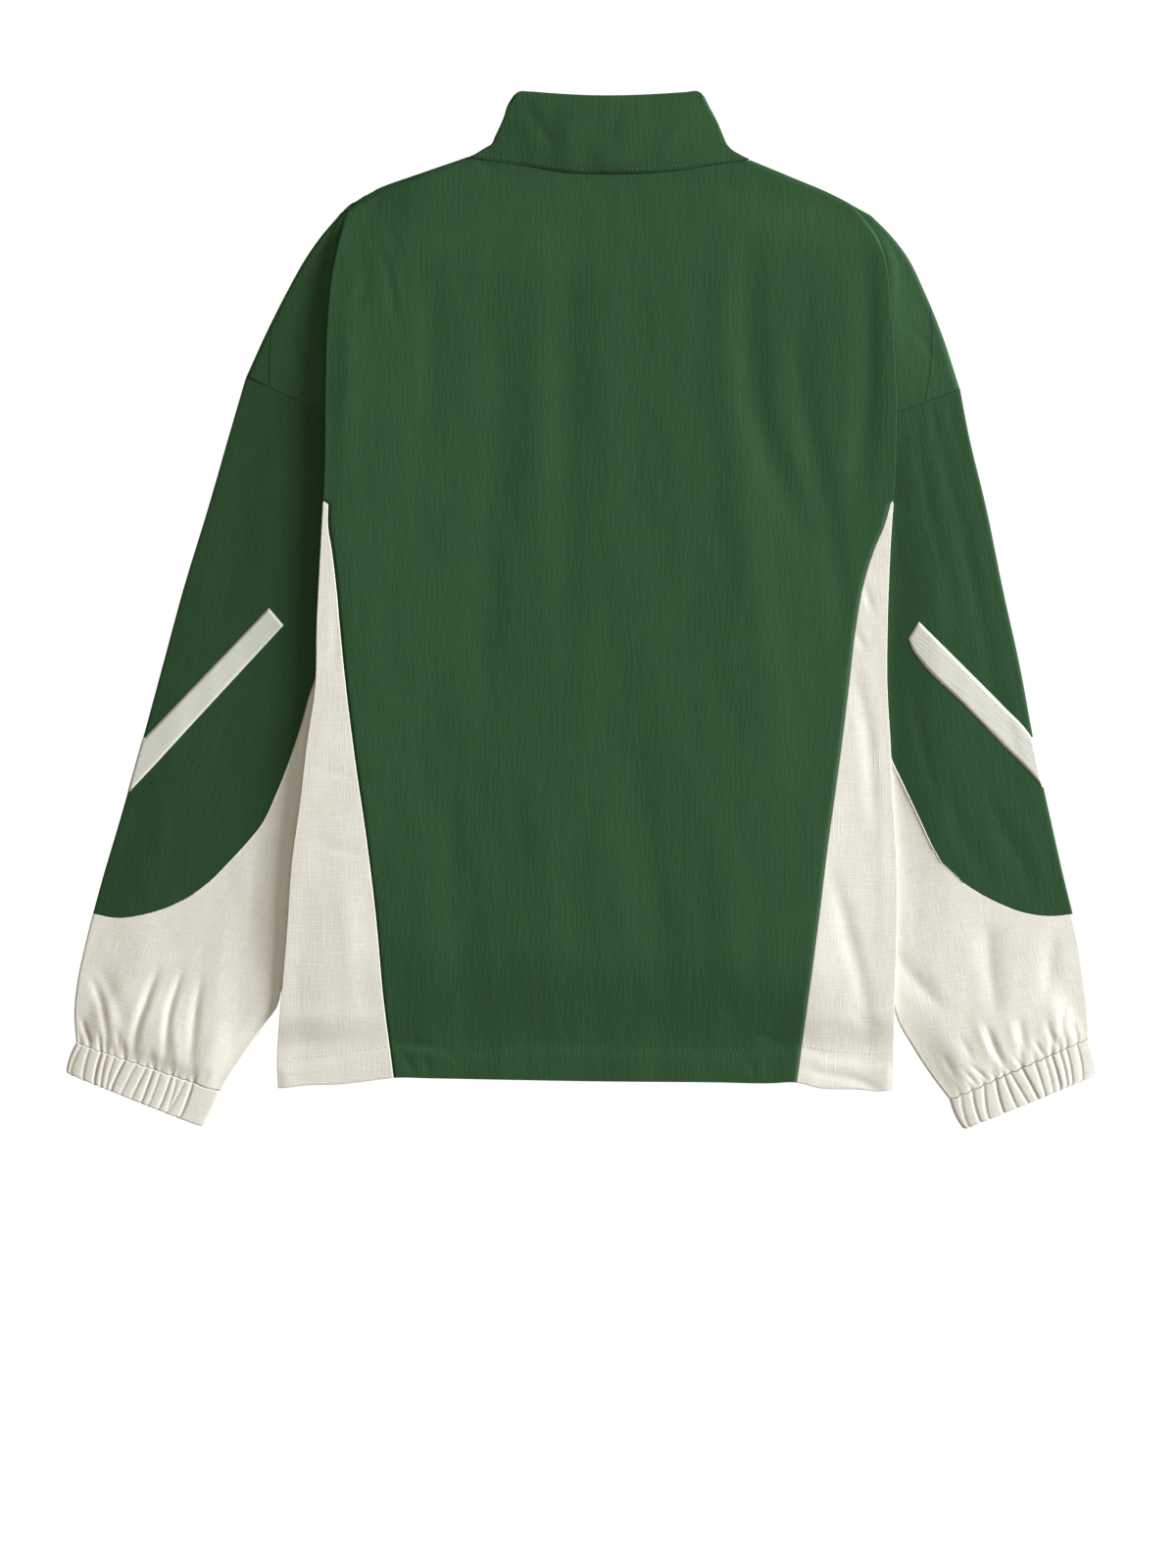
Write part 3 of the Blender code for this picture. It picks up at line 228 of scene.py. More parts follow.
CUFF_SPACING = 2.4
CUFF_COLUMNS = 150
LOWER_LENGTH = 250.0             # of the cream lower sleeve, for the spacing of its rows
LOWER_SPACING = 3.2

# Folds of each cuff: shares of its width from the outer edge, at its seam and at its end, and depth
CUFF_FOLDS = dict(
    left=dict(
        seam=(.03, .09, .17, .21, .265, .337, .42, .49, .54, .59, .665, .705, .765, .816),
        end=(.02, .115, .20, .25, .29, .325, .40, .48, .555, .61, .686, .745, .75, .843),
        depth=(.9, 1.1, 2.2, 1.4, .9, 2.2, .9, 1.3, 1.9, .8, 1.5, .8, .8, 2.1)),
    right=dict(
        seam=(.087, .163, .212, .27, .32, .392, .4865, .57, .617, .678, .761, .849, .93),
        end=(.106, .183, .222, .274, .33, .391, .4455, .523, .609, .71, .826, .888, .977),
        depth=(.9, 1.3, 1.2, 2.1, .6, 1.3, 2.5, 1.3, 1.4, 2.1, 1.3, 1.3, .8)))

# Upper and lower edges of the tapes on the sleeves, from their inner end past the outer fold
TAPE_EDGES = dict(
    left=dict(upper=((-235.5, 0.8), (-266.5, -31.5), (-297.5, -63.8), (-328.5, -96.1), (-336, -104)),
              lower=((-224.4, -12.3), (-260, -50.7), (-294, -87.5), (-329.1, -125.5), (-347, -144.2))),
    right=dict(upper=((254.4, -9.5), (295.1, -50), (317.6, -72.6), (338.2, -94.8), (344.3, -105.5),
                      (351, -118)),
               lower=((246.7, -22.3), (249.8, -30.5), (257, -40.8), (288.8, -72.6), (317.6, -102.4),
                      (345.4, -131.2), (358, -148))))
TAPE_THICK = 0.35
TAPE_GAP = 0.06                  # between tape and sleeve
TAPE_TURNS = (70, 50, 30, 10, -8, -25)    # degrees, where it goes round the outer fold
TAPE_STRANDS = 8
TAPE_ROWS = 60

COLLAR_SIDE = dict(
    left=((-50.3, 388.4), (-55.5, 380.1), (-58.4, 371.2), (-65.1, 356.4), (-68, 350.5), (-71.5, 348.6),
          (-80.6, 343.1), (-85, 341)),
    right=((92.5, 387.6), (97, 378.6), (102.9, 367.5), (107.3, 357.1), (110.3, 350.5), (113.5, 347),
           (119.9, 343.1), (128, 339)))
COLLAR_PAST = 0.015              # share of the front half's edges that its fold takes up
COLLAR_HIGH = 62.0
COLLAR_HALF = 110.0              # length of each front half
COLLAR_SPACING = dict(down=2.4, front=4.5)
COLLAR_COLUMNS = 74
COLLAR_ROLL = 1.1                # half width of the rounding at its folds
COLLAR_RISE = 3.2                # how far its middle stands over its ends
COLLAR_LEAN = 1.5                # and its upper edge over its seam
COLLAR_CORNER = np.array((0.9, 0.6))     # how far its lower corners stay clear of the shoulder
NECK_SEAM = ((-85, 341), (-67, 338), (-41, 334), (-10, 329), (19, 328), (48, 328.5), (75, 331),
             (102, 335.5), (128, 339))
COLLAR_TOP = ((-50.3, 388.4), (-46.6, 390.3), (-39.2, 390.3), (-24.4, 389.3), (5.2, 387.7), (34.8, 387.7),
              (64.4, 389), (79.2, 389.9), (88.1, 390.4), (92.5, 387.6))
FRONT_NECK = dict(
    left=((-85, 341), (-77, 318), (-60, 291), (-32, 267), (14.8, 253)),
    right=((128, 339), (118, 316), (99, 289), (68, 266), (21.2, 253)))
FRONT_COLLAR_TOP = dict(
    left=((-50.3, 388.4), (-42, 364), (-28, 341), (-8, 325), (16.5, 316)),
    right=((92.5, 387.6), (85, 362), (70, 339), (46, 325), (22.9, 316)))

# The hem: its edge, and the stitching that closes its channel
HEM = dict(
    x=(-235, -227.9, -207.2, -182, -162.8, -141.3, -111.7, -74.7, 8.1, 102.1, 143.6, 161.3, 180.6, 206.5,
       231.6, 240),
    edge=(-361.5, -361.5, -359.3, -358.5, -356.3, -353.7, -354.1, -354.8, -356.3, -357.1, -357.8, -357.1,
          -361.5, -362.2, -363, -360))
HEM_STITCH = dict(
    x=(-235, -228.7, -188, -168, -145.8, -105.8, -74.7, -43.7, 50.3, 143.6, 166.5, 187.2, 212.4, 240),
    y=(-339.6, -339.3, -336.3, -332.6, -330.4, -333.4, -334.9, -330.4, -331.9, -331.2, -329.7, -332.6,
       -334.9, -335.6))
HEM_FOLLOW_Y = -290.0            # below this the cloth follows the hem's uneven edge
HEM_RELIEF = 0.7                 # how far the channel stands over the cloth above it
HEM_STEP = 4.0                   # width of that step

# Stitches and the zip
STITCH_LONG = 2.2
STITCH_GAP = 0.7
STITCH_RADIUS = 0.24
SEAM_LINE = dict(length=2.6, gap=-0.3, radius=0.3)    # dark line along a seam, its colour painted shadow of the seam's groove
NECK_CORD = dict(length=5.0, gap=-3.4, radius=0.5, height=3.7)    # dark line below the collar, its colour painted shadow of the closed seam
NECK_STITCH = 3.0                # from the collar's lower edge
ZIP_TOP_Y = FRONT_COLLAR_TOP["left"][-1][1]
ZIP_END_Y = FRONT_NECK["left"][-1][1] - ZIP_LENGTH
TOOTH_PITCH = 2.0
TOOTH_LENGTH = 3.0
TOOTH_HIGH = 1.0
TOOTH_OFFSET = 0.5               # to each side of the zip's middle
TOOTH_Z = 0.6
ZIP_Z = 0.6                      # of the zip's tape
SLIDER_LENGTH = 9.0
SLIDER_WIDTH = 7.0
SLIDER_HIGH = 2.2

# Creases: half width, depth (a ridge is below zero) and the points of the line that each one follows
BACK_CREASES = (
    (15, 1.35, (131.7, 285.3), (126.5, 215.7), (132.5, 149.1), (153.2, 89.9), (184.3, 23.3)),
    (12, 1.08, (164.3, 215.7), (169.5, 141.7), (190.2, 45.5), (199.1, -28.5)),
    (16, -0.81, (105.1, 274.9), (110.3, 149.1), (131, 15.9), (145.8, -102.5)),
    (18, -0.68, (20, 289.7), (21.5, 149.1), (25.9, -13.7)),
    (14, 0.68, (-5.9, 274.9), (-9.6, 149.1), (-13.3, -58.1)),
    (13, -0.68, (-31.8, 289.7), (-33.3, 149.1), (-35.5, 45.5)),
    (16, 0.81, (-68.8, 297.1), (-65.1, 149.1), (-68.8, -13.7), (-76.2, -132.1)),
    (12, 0.68, (-119.1, 274.9), (-113.2, 178.7), (-114.7, 104.7)),
    (3.5, 0.7, (-148, 269), (-144.3, 249), (-141.3, 226.8), (-137.6, 211.3)),
    (3, 0.45, (-135.4, 261.6), (-131.7, 234.9)),
    (3, 0.5, (-147.3, 292.7), (-142.8, 280.8), (-137.6, 269)),
    (5, 0.45, (-164.3, 266), (-163.5, 245.3), (-168.7, 220.2)),
    (12, -0.81, (-178.3, 245.3), (-179.8, 149.1), (-183.5, 75.1)),
    (12, 1.22, (215.3, 278.6), (216.8, 215.7), (215.3, 149.1), (206.5, 75.1)),
    (18, 0.68, (34.8, -58.1), (49.6, -206.1), (71.8, -317.1)),
    (18, -0.68, (-39.2, -95.1), (-24.4, -206.1), (-24.4, -309.7)),
    (16, 0.68, (-105.8, -132.1), (-91, -243.1), (-83.6, -317.1)),
    (16, -0.68, (101.4, -146.9), (112.5, -250.5), (116.2, -309.7)),
    (3, 0.6, (-146.5, -328.9), (-128, -327.4), (-105.8, -331.9)),
    (3.5, 0.6, (-119.1, -336.3), (-115.4, -352.6)),
    (4, 0.5, (-135.4, -334.9), (-128, -348.2), (-122.1, -352.6)),
    (4, 0.4, (-104.3, -328.9), (-96.9, -337.8), (-85.1, -339.3)),
    (3, 0.6, (132.5, -319.3), (144.3, -323.8), (157.6, -324.5)),
    (3, 0.5, (125.8, -337.8), (131, -349.6)),
    (3, 0.4, (149.5, -330.4), (159.1, -331.9)),
    (2.5, 0.6, (-80.7, 340), (-71.8, 334.9), (-61.4, 331.1)),
    (2.5, 0.5, (105.1, 328.2), (117.7, 333.4), (126.5, 337.8)),
    (5, 0.3, (99.2, 322.3), (123.6, 316.4)))
SIDE_CREASES = dict(
    left=(
        (5, 0.3, (-183.5, 15.9), (-187.2, -50.7)),
        (4, 0.35, (-203.5, -121), (-170.9, -126.2)),
        (5, 0.35, (-200.5, -178), (-159.1, -185.4)),
        (8, 0.5, (-216.8, -206.1), (-219.8, -324.5)),
        (9, -0.4, (-178.3, -206.1), (-172.4, -309.7))),
    right=(
        (7, 0.8, (206.5, -47), (217.6, -102.5), (221.3, -161.7)),
        (7, 0.9, (187.2, -192.8), (199.8, -240.1), (212.4, -291.2), (217.6, -323)),
        (3.5, 0.5, (212.4, 18.9), (216.8, 7), (221.3, -4.8)),
        (3.5, 0.4, (203.5, -13.7), (215.3, -31.4)),
        (5, -0.4, (226.4, -58.1), (229.4, -169.1), (228.7, -265.3)),
        (3, 0.9, (166.5, -343.7), (190.2, -345.2), (212.4, -349.6), (235.3, -356.3)),
        (4, 0.4, (199.1, -299.3), (216.1, -309.7), (230.9, -308.2))))
ARM_CREASES = dict(
    left=(
        (9, -0.35, (-216.8, 282.3), (-224.2, 237.9), (-228.7, 193.5)),
        (13, 0.35, (-240.5, 141.7), (-261.2, 60.3), (-274.5, -13.7)),
        (10, -0.28, (-264.2, 141.7), (-287.1, 45.5)),
        (14, 0.35, (-250.1, -28.5), (-272.3, -109.9), (-290.8, -169.1)),
        (11, -0.28, (-313, -132.1), (-327.8, -206.1)),
        (8, 0.21, (-287.1, -58.1), (-305.6, -132.1)),
        (5, 0.28, (-216.8, 215.7), (-212.4, 178.7))),
    right=(
        (4, 0.35, (245.7, 215.7), (260.5, 199.4), (269.4, 181.7)),
        (5, 0.42, (249.4, 149.1), (262.7, 75.1), (280.5, 1.1)),
        (6, 0.49, (267.9, 141.7), (286.4, 60.3), (302.7, -13.7), (314.5, -87.7)),
        (6, 0.42, (290.1, 134.3), (307.1, 60.3), (323.4, -13.7)),
        (4, 0.35, (277.5, 156.5), (280.5, 134.3)),
        (3.5, 0.28, (264.2, 155), (267.1, 126.9)),
        (4, 0.28, (295.3, 158), (301.2, 112.1)),
        (5, 0.42, (249.4, -58.1), (256.8, -102.5), (267.9, -143.2)),
        (8, 0.42, (271.6, -124.7), (290.1, -176.5), (308.6, -206.1)),
        (7, 0.42, (301.2, -132.1), (330.8, -191.3), (345.6, -220.9)),
        (6, -0.28, (330.8, -154.3), (353, -206.1)),
        (5, -0.28, (312.3, 45.5), (324.9, -43.3)),
        (6, -0.28, (260.5, 30.7), (273.1, -21.1)),
        (5, 0.28, (316, -58.1), (332.3, -124.7))))
CUFF_GATHERS = dict(
    left=(
        (4.5, 1.53, (-318.9, -270.5), (-327.8, -294.9), (-336, -321.5), (-337.4, -338.6)),
        (4, 1.36, (-301.2, -273.4), (-310.1, -302.3), (-313.8, -343.7)),
        (5, 1.19, (-287.1, -278.6), (-291.6, -309.7), (-294.5, -348.2)),
        (4, 1.19, (-369.3, -277.9), (-362.6, -294.9), (-358.2, -317.1), (-356.7, -333.4)),
        (2.5, 1.02, (-376.7, -308.2), (-373.7, -318.6), (-369.3, -329.7)),
        (11.2, 0.92, (-364.1, -269), (-353.7, -291.2), (-343.4, -317.1)),
        (1.8, 0.77, (-325.6, -331.9), (-324.1, -345.2)),
        (2.5, 0.68, (-284.9, -346.7), (-281.2, -356.3)),
        (3, 0.59, (-350, -317.1), (-347.1, -336.3)),
        (12.5, -0.46, (-327.8, -243.1), (-335.2, -280.1)),
        (15, -0.61, (-268.6, -228.3), (-274.5, -287.5), (-279.7, -331.9)),
        (4, -0.59, (-305.6, -317.1), (-304.1, -348.2)),
        (10, 0.38, (-231.6, -132.1), (-244.9, -191.3), (-247.9, -243.1), (-244.9, -287.5))),
    right=(
        (11.2, 1.13, (306.4, -235.7), (308.6, -272.7), (313, -306.7)),
        (10, 0.9, (356.7, -239.4), (353, -272.7), (350, -300.8)),
        (10, 1.13, (237.5, -260.1), (249.4, -277.1), (262.7, -291.2), (273.1, -302.3)),
        (4, 1.26, (305.6, -314.1), (313, -334.1), (320.4, -346.7)),
        (2.2, 0.77, (293.8, -344.5), (300.4, -349.6), (306.4, -354.8)),
        (2.2, 0.7, (288.6, -348.9), (293.8, -353.4), (298.2, -358.5)),
        (2, 0.7, (327.1, -337.1), (330.8, -345.2)),
        (4, 0.7, (330.8, -308.2), (332.3, -321.5), (335.2, -334.9)),
        (2.5, 0.77, (342.6, -326), (345.6, -331.9), (348.5, -337.8)),
        (3.5, 0.84, (350.8, -309.7), (354.5, -321.5), (360.4, -331.1)),
        (3.5, 0.7, (364.8, -294.9), (362.6, -312.6), (364.8, -329.7)),
        (4, 0.56, (273.8, -337.8), (281.2, -352.6)),
        (5, 0.63, (287.1, -323), (290.8, -331.9), (295.3, -340.8)),
        (5, -0.49, (323.4, -309.7), (326.3, -331.9)),
        (5, -0.42, (297.5, -309.7), (307.1, -339.3)),
        (3, 0.49, (370.7, -309.7), (373.7, -326))))
COLLAR_CREASES = (
    (5, 0.9, (-44.4, 385.9), (-35.5, 367.4), (-20.7, 348.9)),
    (4, 1.1, (-57.7, 371.1), (-64.4, 356.3), (-65.9, 348.9)),
    (4, -0.4, (-35.5, 387.4), (-27.4, 371.1)),
    (5, -0.5, (79.2, 372.6), (68.8, 356.3), (58.5, 340)),
    (4, 0.35, (31.8, 378.5), (25.9, 368.1), (20, 360)),
    (4, 0.5, (99.9, 365.2), (107.3, 351.9), (110.3, 344.5)),
    (6, -0.4, (79.2, 382.2), (88.1, 365.2)),
    (10, 0.3, (5.2, 371.1), (34.8, 348.9)))


# ---- lines ----------------------------------------------------------------------------------------

def read_line(knots, values, places):
    """Read a smooth line through the values at the knots, which rise."""
    knots, values = np.asarray(knots, float), np.asarray(values, float)
    places = np.clip(places, knots[0], knots[-1])
    slopes = np.gradient(values, knots, axis=0)
    cell = np.clip(np.searchsorted(knots, places) - 1, 0, len(knots) - 2)
    width = knots[cell + 1] - knots[cell]
    t = (places - knots[cell]) / width
    if values.ndim > 1:
        t, width = t[:, None], width[:, None]
    start = (1 + 2 * t) * (1 - t) ** 2 * values[cell] + t * (1 - t) ** 2 * width * slopes[cell]
    end = t * t * (3 - 2 * t) * values[cell + 1] + t * t * (t - 1) * width * slopes[cell + 1]
    return start + end


def column(table, name, places, by="y"):
    """Read one column of a table, by its heights y, which fall, or by its x, which rise."""
    order = -1 if by == "y" else 1
    read = read_line(table[by][::order], table[name][::order], np.ravel(places))
    return read.reshape(np.shape(places))


def line_x(line, y):
    """Where a line that runs down the page is at height y."""
    xs, ys = np.array(line, float).T
    return column(dict(x=xs, y=ys), "x", y)


def lengths(points):
    """Length from the first point to each point of a line."""
    steps = np.linalg.norm(np.diff(points, axis=0), axis=1)
    return np.concatenate([[0.0], np.cumsum(steps)])


def along(points, places):
    """Points at the given shares of the length of a smooth line through the points."""
    points = np.asarray(points, float)
    knots = lengths(points)
    fine_places = np.linspace(0, knots[-1], 12 * len(points))
    real = lengths(read_line(knots, points, fine_places))
    return read_line(knots, points, np.interp(np.asarray(places) * real[-1], real, fine_places))


def straight(start, end, places):
    """Points on a straight line at the given shares of its length."""
    places = np.asarray(places, float)[:, None]
    return (1 - places) * np.asarray(start, float) + places * np.asarray(end, float)


def even(count):
    """Shares that divide a line into equal parts."""
    return np.linspace(0, 1, count + 1)


def stations(marks, spacing):
    """Places from mark to mark, no further apart than the spacing."""
    places = [np.array([marks[0]], float)]
    for start, end in zip(marks, marks[1:]):
        count = max(1, math.ceil(abs(end - start) / spacing))
        places.append(np.linspace(start, end, count + 1)[1:])
    return np.concatenate(places)


def edge_shares(length, spacing=SPACING, both=True):
    """Shares of a length, with closer lines near its start and end, where the cloth dips into a seam."""
    steps = np.array([0, *EDGE_STEPS])
    end = length - steps[::-1] if both else np.array([length])
    return stations([*steps, *end], spacing) / length


def unit(ways):
    """The directions of some ways, each of length 1."""
    return ways / np.maximum(np.linalg.norm(ways, axis=-1, keepdims=True), 1e-9)


def leftward(line):
    """Unit directions square to a line, to the left of the way along it."""
    way = unit(np.gradient(line, axis=0))
    return np.stack([-way[:, 1], way[:, 0]], axis=1)


def inward(line, side):
    """Unit directions across a line that runs down the page, towards the middle of its tube."""
    return -SIGN[side] * leftward(line)


def beside(line, reach):
    """A line this far to the left of the way along another one."""
    line = along(line, even(60))
    return line + leftward(line) * reach


def toward(start, end, reach):
    """The point at this distance from start, towards end."""
    start = np.asarray(start, float)
    return start + unit(np.asarray(end, float) - start) * reach


def patch(top, bottom, left, right, u, v):
    """Fill four edge lines with a grid: rows from top to bottom, columns from left to right."""
    u = np.asarray(u)[None, :, None]
    v = np.asarray(v)[:, None, None]
    ruled = (1 - v) * top[None] + v * bottom[None] + (1 - u) * left[:, None] + u * right[:, None]
    corners = ((1 - u) * (1 - v) * top[0] + u * (1 - v) * top[-1]
               + (1 - u) * v * bottom[0] + u * v * bottom[-1])
    return ruled - corners


def reach_to(line, x, y):
    """Distance of each place from a line of points, and the share of the line that is nearest."""
    line = np.asarray(line, float)
    knots = lengths(line)
    best = np.full(np.shape(x), np.inf)
    share = np.zeros(np.shape(x))
    for (x0, y0), (x1, y1), k0, k1 in zip(line, line[1:], knots, knots[1:]):
        dx, dy = x1 - x0, y1 - y0
        t = np.clip(((x - x0) * dx + (y - y0) * dy) / (dx * dx + dy * dy), 0, 1)
        gap = np.hypot(x - x0 - t * dx, y - y0 - t * dy)
        nearer = gap < best
        best = np.where(nearer, gap, best)
        share = np.where(nearer, (k0 + t * (k1 - k0)) / knots[-1], share)
    return best, share


# ---- heights --------------------------------------------------------------------------------------

def ease(t):
    """Rise smoothly from 0 to 1."""
    t = np.clip(t, 0, 1)
    return t * t * (3 - 2 * t)


def hump(t):
    """Rise from 0 to 1 in the middle of a length, and fall to 0 again."""
    return np.sin(np.pi * np.clip(t, 0, 1))


def both_ends(share, steep):
    """1 over a length, easing to 0 at its two ends."""
    return ease(steep * share) * ease(steep - steep * share)


def spread(plan):
    """The x and the y of plan points."""
    return plan[..., 0], plan[..., 1]


def crease_depth(creases, x, y, shoulder=0.35, core=0.0):
    """Sum of the soft troughs at each place, less the ridges; a trough has a faint ridge on each side.

    The core is the share of its depth that is a sharp line in its middle.
    """
    depth = np.zeros(np.shape(x))
    for half, deep, *points in creases:
        line = along(points, even(8 * (len(points) - 1)))
        low, high = line.min(axis=0) - 3 * half, line.max(axis=0) + 3 * half
        near = (x > low[0]) & (x < high[0]) & (y > low[1]) & (y < high[1])
        if near.any():
            gap, share = reach_to(line, x[near], y[near])
            t = (gap / half) ** 2
            form = (1 - core) * (1 - shoulder * t) * np.exp(-t) + core * np.exp(-9 * t)
            depth[near] += deep * form * hump(np.clip(share, 0.02, 0.98)) ** 0.7
    return depth


def ripple(cloth, x, y):
    """A slight unevenness of pressed cloth, in waves that are longer up the page."""
    total = np.zeros(np.size(x))
    for size, amount, seed in RIPPLES[cloth]:
        total += amount * np.array([noise.noise(Vector((a / size, b / (2.2 * size), seed)))
                                    for a, b in zip(np.ravel(x).tolist(), np.ravel(y).tolist())])
    return total.reshape(np.shape(x))


def edge_height(side, y):
    """Height of the body's side edge: over the sleeve, then down to the floor at the hem."""
    y = np.asarray(y, float)
    top = column(ARM_TOP, side, y)
    lifted = (top + REST_GAP) * ease((y - FLOOR_Y) / (LIFT_END_Y - FLOOR_Y))
    return np.where(y > TIP_Y, top + column(TUCK, "drop", y), lifted + 2 * FOLD_RADIUS)


def hem_y(x):
    return column(HEM, "edge", x, by="x")


def stitch_y(x):
    return column(HEM_STITCH, "y", x, by="x")


def follow_hem(points):
    """Let the cloth near the hem follow the hem's uneven edge."""
    points = points.copy()
    share = ease((HEM_FOLLOW_Y - points[..., 1]) / (HEM_FOLLOW_Y - HEM_Y))
    points[..., 1] += (hem_y(points[..., 0]) - HEM_Y) * share
    return points


def back_height(x, y):
    """Height of the body's upper layer."""
    inside = {side: -SIGN[side] * (x - column(SIDE_FOLD, side, y)) for side in SIDES}
    neck = reach_to(along(NECK_SEAM, even(24)), x, y)[0]
    rise = ease(neck / LOFT_REACH["neck"]) * ease((y - hem_y(x) - LOFT_START) / LOFT_REACH["hem"])
    middle = height = REST + LOFT * rise
    for side in SIDES:
        near = 1 - ease((inside[side] - STACK_WIDTH) / STACK_FADE)
        height = height + (edge_height(side, y) - middle) * near
    away = ease((np.minimum(*inside.values()) - CALM_EDGE[0]) / CALM_EDGE[1])
    height -= crease_depth(BACK_CREASES + SIDE_CREASES["left"] + SIDE_CREASES["right"], x, y) * away
    height += ripple("back", x, y) * away * ease(neck / CALM_NECK)
    return height + HEM_RELIEF * ease((stitch_y(x) - y) / HEM_STEP)


def shoulder_fall(x, y, height):
    """Let the cloth roll down at the shoulders' outer edge, where it meets the front."""
    for side in SIDES:
        gap, _ = reach_to(along(SHOULDER[side], even(40)), x, y)
        share = np.clip(gap / EDGE_ROLL, 0, 1)
        height = EDGE_LOW + (height - EDGE_LOW) * np.sqrt(1 - (1 - share) ** 2)
    return height


def arm_edges(side, y):
    """Where an arm starts beside the body, and its outer fold."""
    sign = SIGN[side]
    fold = column(SIDE_FOLD, side, y)
    inner = line_x(SLEEVE_IN[side], y)
    start = np.where(y > ARMPIT_Y, fold, sign * np.maximum(sign * fold, sign * inner))
    outer = line_x((*SHOULDER[side][3:], *SLEEVE_OUT[side][1:], *LOWER_OUT[side][1:], CUFF_OUT[side]), y)
    return start, outer


def arm_height(side, x, y):
    """Height of the shoulder's and the sleeve's upper layer."""
    start, outer = arm_edges(side, y)
    from_body, from_outer = (x - start) * SIGN[side], (outer - x) * SIGN[side]
    edge = column(ARM_EDGE, side, y)
    crown = edge + ARM_CROWN[side] * np.sin(np.pi / 2 * np.clip(from_outer / ARM_CROWN_REACH, 0, 1))
    reach = np.minimum(ARM_REACH[side], 0.9 * np.abs(outer - start))
    fall = (1 - np.clip(from_body / reach, 0, 1)) ** ARM_FALL[side]
    height = crown + (column(ARM_TOP, side, y) - crown) * fall
    free = ease((ARM_FREE["y"] - y) / ARM_FREE["fade"])
    height = edge + (height - edge) * (1 - free * (1 - ease(from_body / ARM_FREE["breadth"])))
    away = ease(from_body / CALM_ARM["body"]) * ease(from_outer / CALM_ARM["outer"])
    height -= crease_depth(ARM_CREASES[side], x, y) * away
    return height + ripple("arm", x, y) * away


def on_surface(cloth, plan):
    """A layer that lies on the surface, and lifts off it a little here and there."""
    return with_height(plan, np.maximum(0, ripple(cloth, *spread(plan)) - 0.1))


# ---- meshes ---------------------------------------------------------------------------------------

FINISHES = {}


def grid_quads(shape, keep=None, closed=False):
    """Corners of the cells of a grid of points, without the cells that keep leaves out."""
    numbers = np.arange(shape[0] * shape[1]).reshape(shape)
    if closed:
        numbers = np.concatenate([numbers, numbers[:, :1]], axis=1)
    quads = np.stack([numbers[:-1, :-1], numbers[1:, :-1], numbers[1:, 1:], numbers[:-1, 1:]], axis=-1)
    return quads.reshape(-1, 4) if keep is None else quads[keep]


def turn_edges_in(points, quads, dip):
    """Move a sheet's open edges in by half a seam, and down into it, less where its cells are narrow."""
    starts, ends = quads.ravel(), np.roll(quads, -1, axis=1).ravel()
    size = len(points)
    open_ = ~np.isin(starts * size + ends, ends * size + starts)
    a, b = starts[open_], ends[open_]
    face = np.repeat(np.arange(len(quads)), 4)[open_]
    way = unit(points[b] - points[a])
    aside = points[quads[face]].mean(axis=1) - points[a]
    aside -= way * np.sum(aside * way, axis=1)[:, None]
    reach, aside = np.linalg.norm(aside, axis=1), unit(aside)
    push, sink, count, room = np.zeros((size, 3)), np.zeros((size, 3)), np.zeros(size), np.full(size, 9.0)
    for end in (a, b):
        np.minimum.at(room, end, reach)
        np.add.at(push, end, aside)
        np.add.at(sink, end, np.cross(aside, way))
        np.add.at(count, end, 1)
    edge = count > 0
    share = np.maximum(np.sum(push[edge] ** 2, axis=1) / count[edge], 0.4)
    moved = points.copy()
    moved[edge] += push[edge] / share[:, None] * np.minimum(SEAM / 2, room[edge])[:, None]
    moved[edge] += unit(sink[edge]) * np.minimum(dip, 2 * room[edge])[:, None]
    moved[:, 2] = np.maximum(moved[:, 2], 0)
    return moved


def set_down(name, data):
    """Put a new object in the scene."""
    made = bpy.data.objects.new(name, data)
    bpy.context.scene.collection.objects.link(made)
    return made


def put_in_scene(name, mesh, finish, node):
    """Add a piece that stays with the garment and stands for its solid."""
    mesh.materials.append(FINISHES[finish])
    mesh.shade_smooth()
    piece = set_down(name, mesh)
    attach(piece, "root")
    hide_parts(node)
    return piece


class Cloth:
    """One sewn piece: a thin shell on a grid of points in millimetres."""

    def __init__(self, name, points, finish, node, keep=None, closed=False, flip=False, thick=THIN,
                 dip=SEAM_DIP, slot=None):
        quads = grid_quads(points.shape[:2], keep, closed)
        if flip:
            quads = quads[:, ::-1]
        flat = turn_edges_in(points.reshape(-1, 3), quads, dip)
        used, corners = np.unique(quads, return_inverse=True)
        self.node, self.flat, self.corners = node, flat[used], corners.reshape(-1, 4)
        mesh = bpy.data.meshes.new(name)
        mesh.from_pydata((self.flat * MM).tolist(), [], self.corners.tolist())
        wall = put_in_scene(name, mesh, finish, node).modifiers.new("wall", "SOLIDIFY")
        wall.thickness, wall.offset = thick * MM, -1.0

    def surface(self):
        return BVHTree.FromPolygons(self.flat.tolist(), self.corners.tolist())


def with_height(plan, height):
    """Join plan points and heights."""
    height = np.broadcast_to(height, plan.shape[:-1])
    return np.concatenate([plan, height[..., None]], axis=-1)


def roll(tangent, way, reach, top, bottom):
    """Columns around a fold, from just past its upper edge to just before its lower edge."""
    turns = np.pi / 2 - np.pi * np.arange(1, ARM_COLUMNS + 1) / (ARM_COLUMNS + 1)
    return np.stack([with_height(tangent + way * reach * math.cos(turn),
                                 (top + bottom) / 2 + (top - bottom) / 2 * math.sin(turn))
                     for turn in turns], axis=1)


def thinned(count, step):
    """Numbers of the columns that the lower layer keeps, from the last one to the first."""
    return np.unique(np.round(np.linspace(0, count - 1, max(2, count // step))).astype(int))[::-1]


# ---- body -----------------------------------------------------------------------------------------

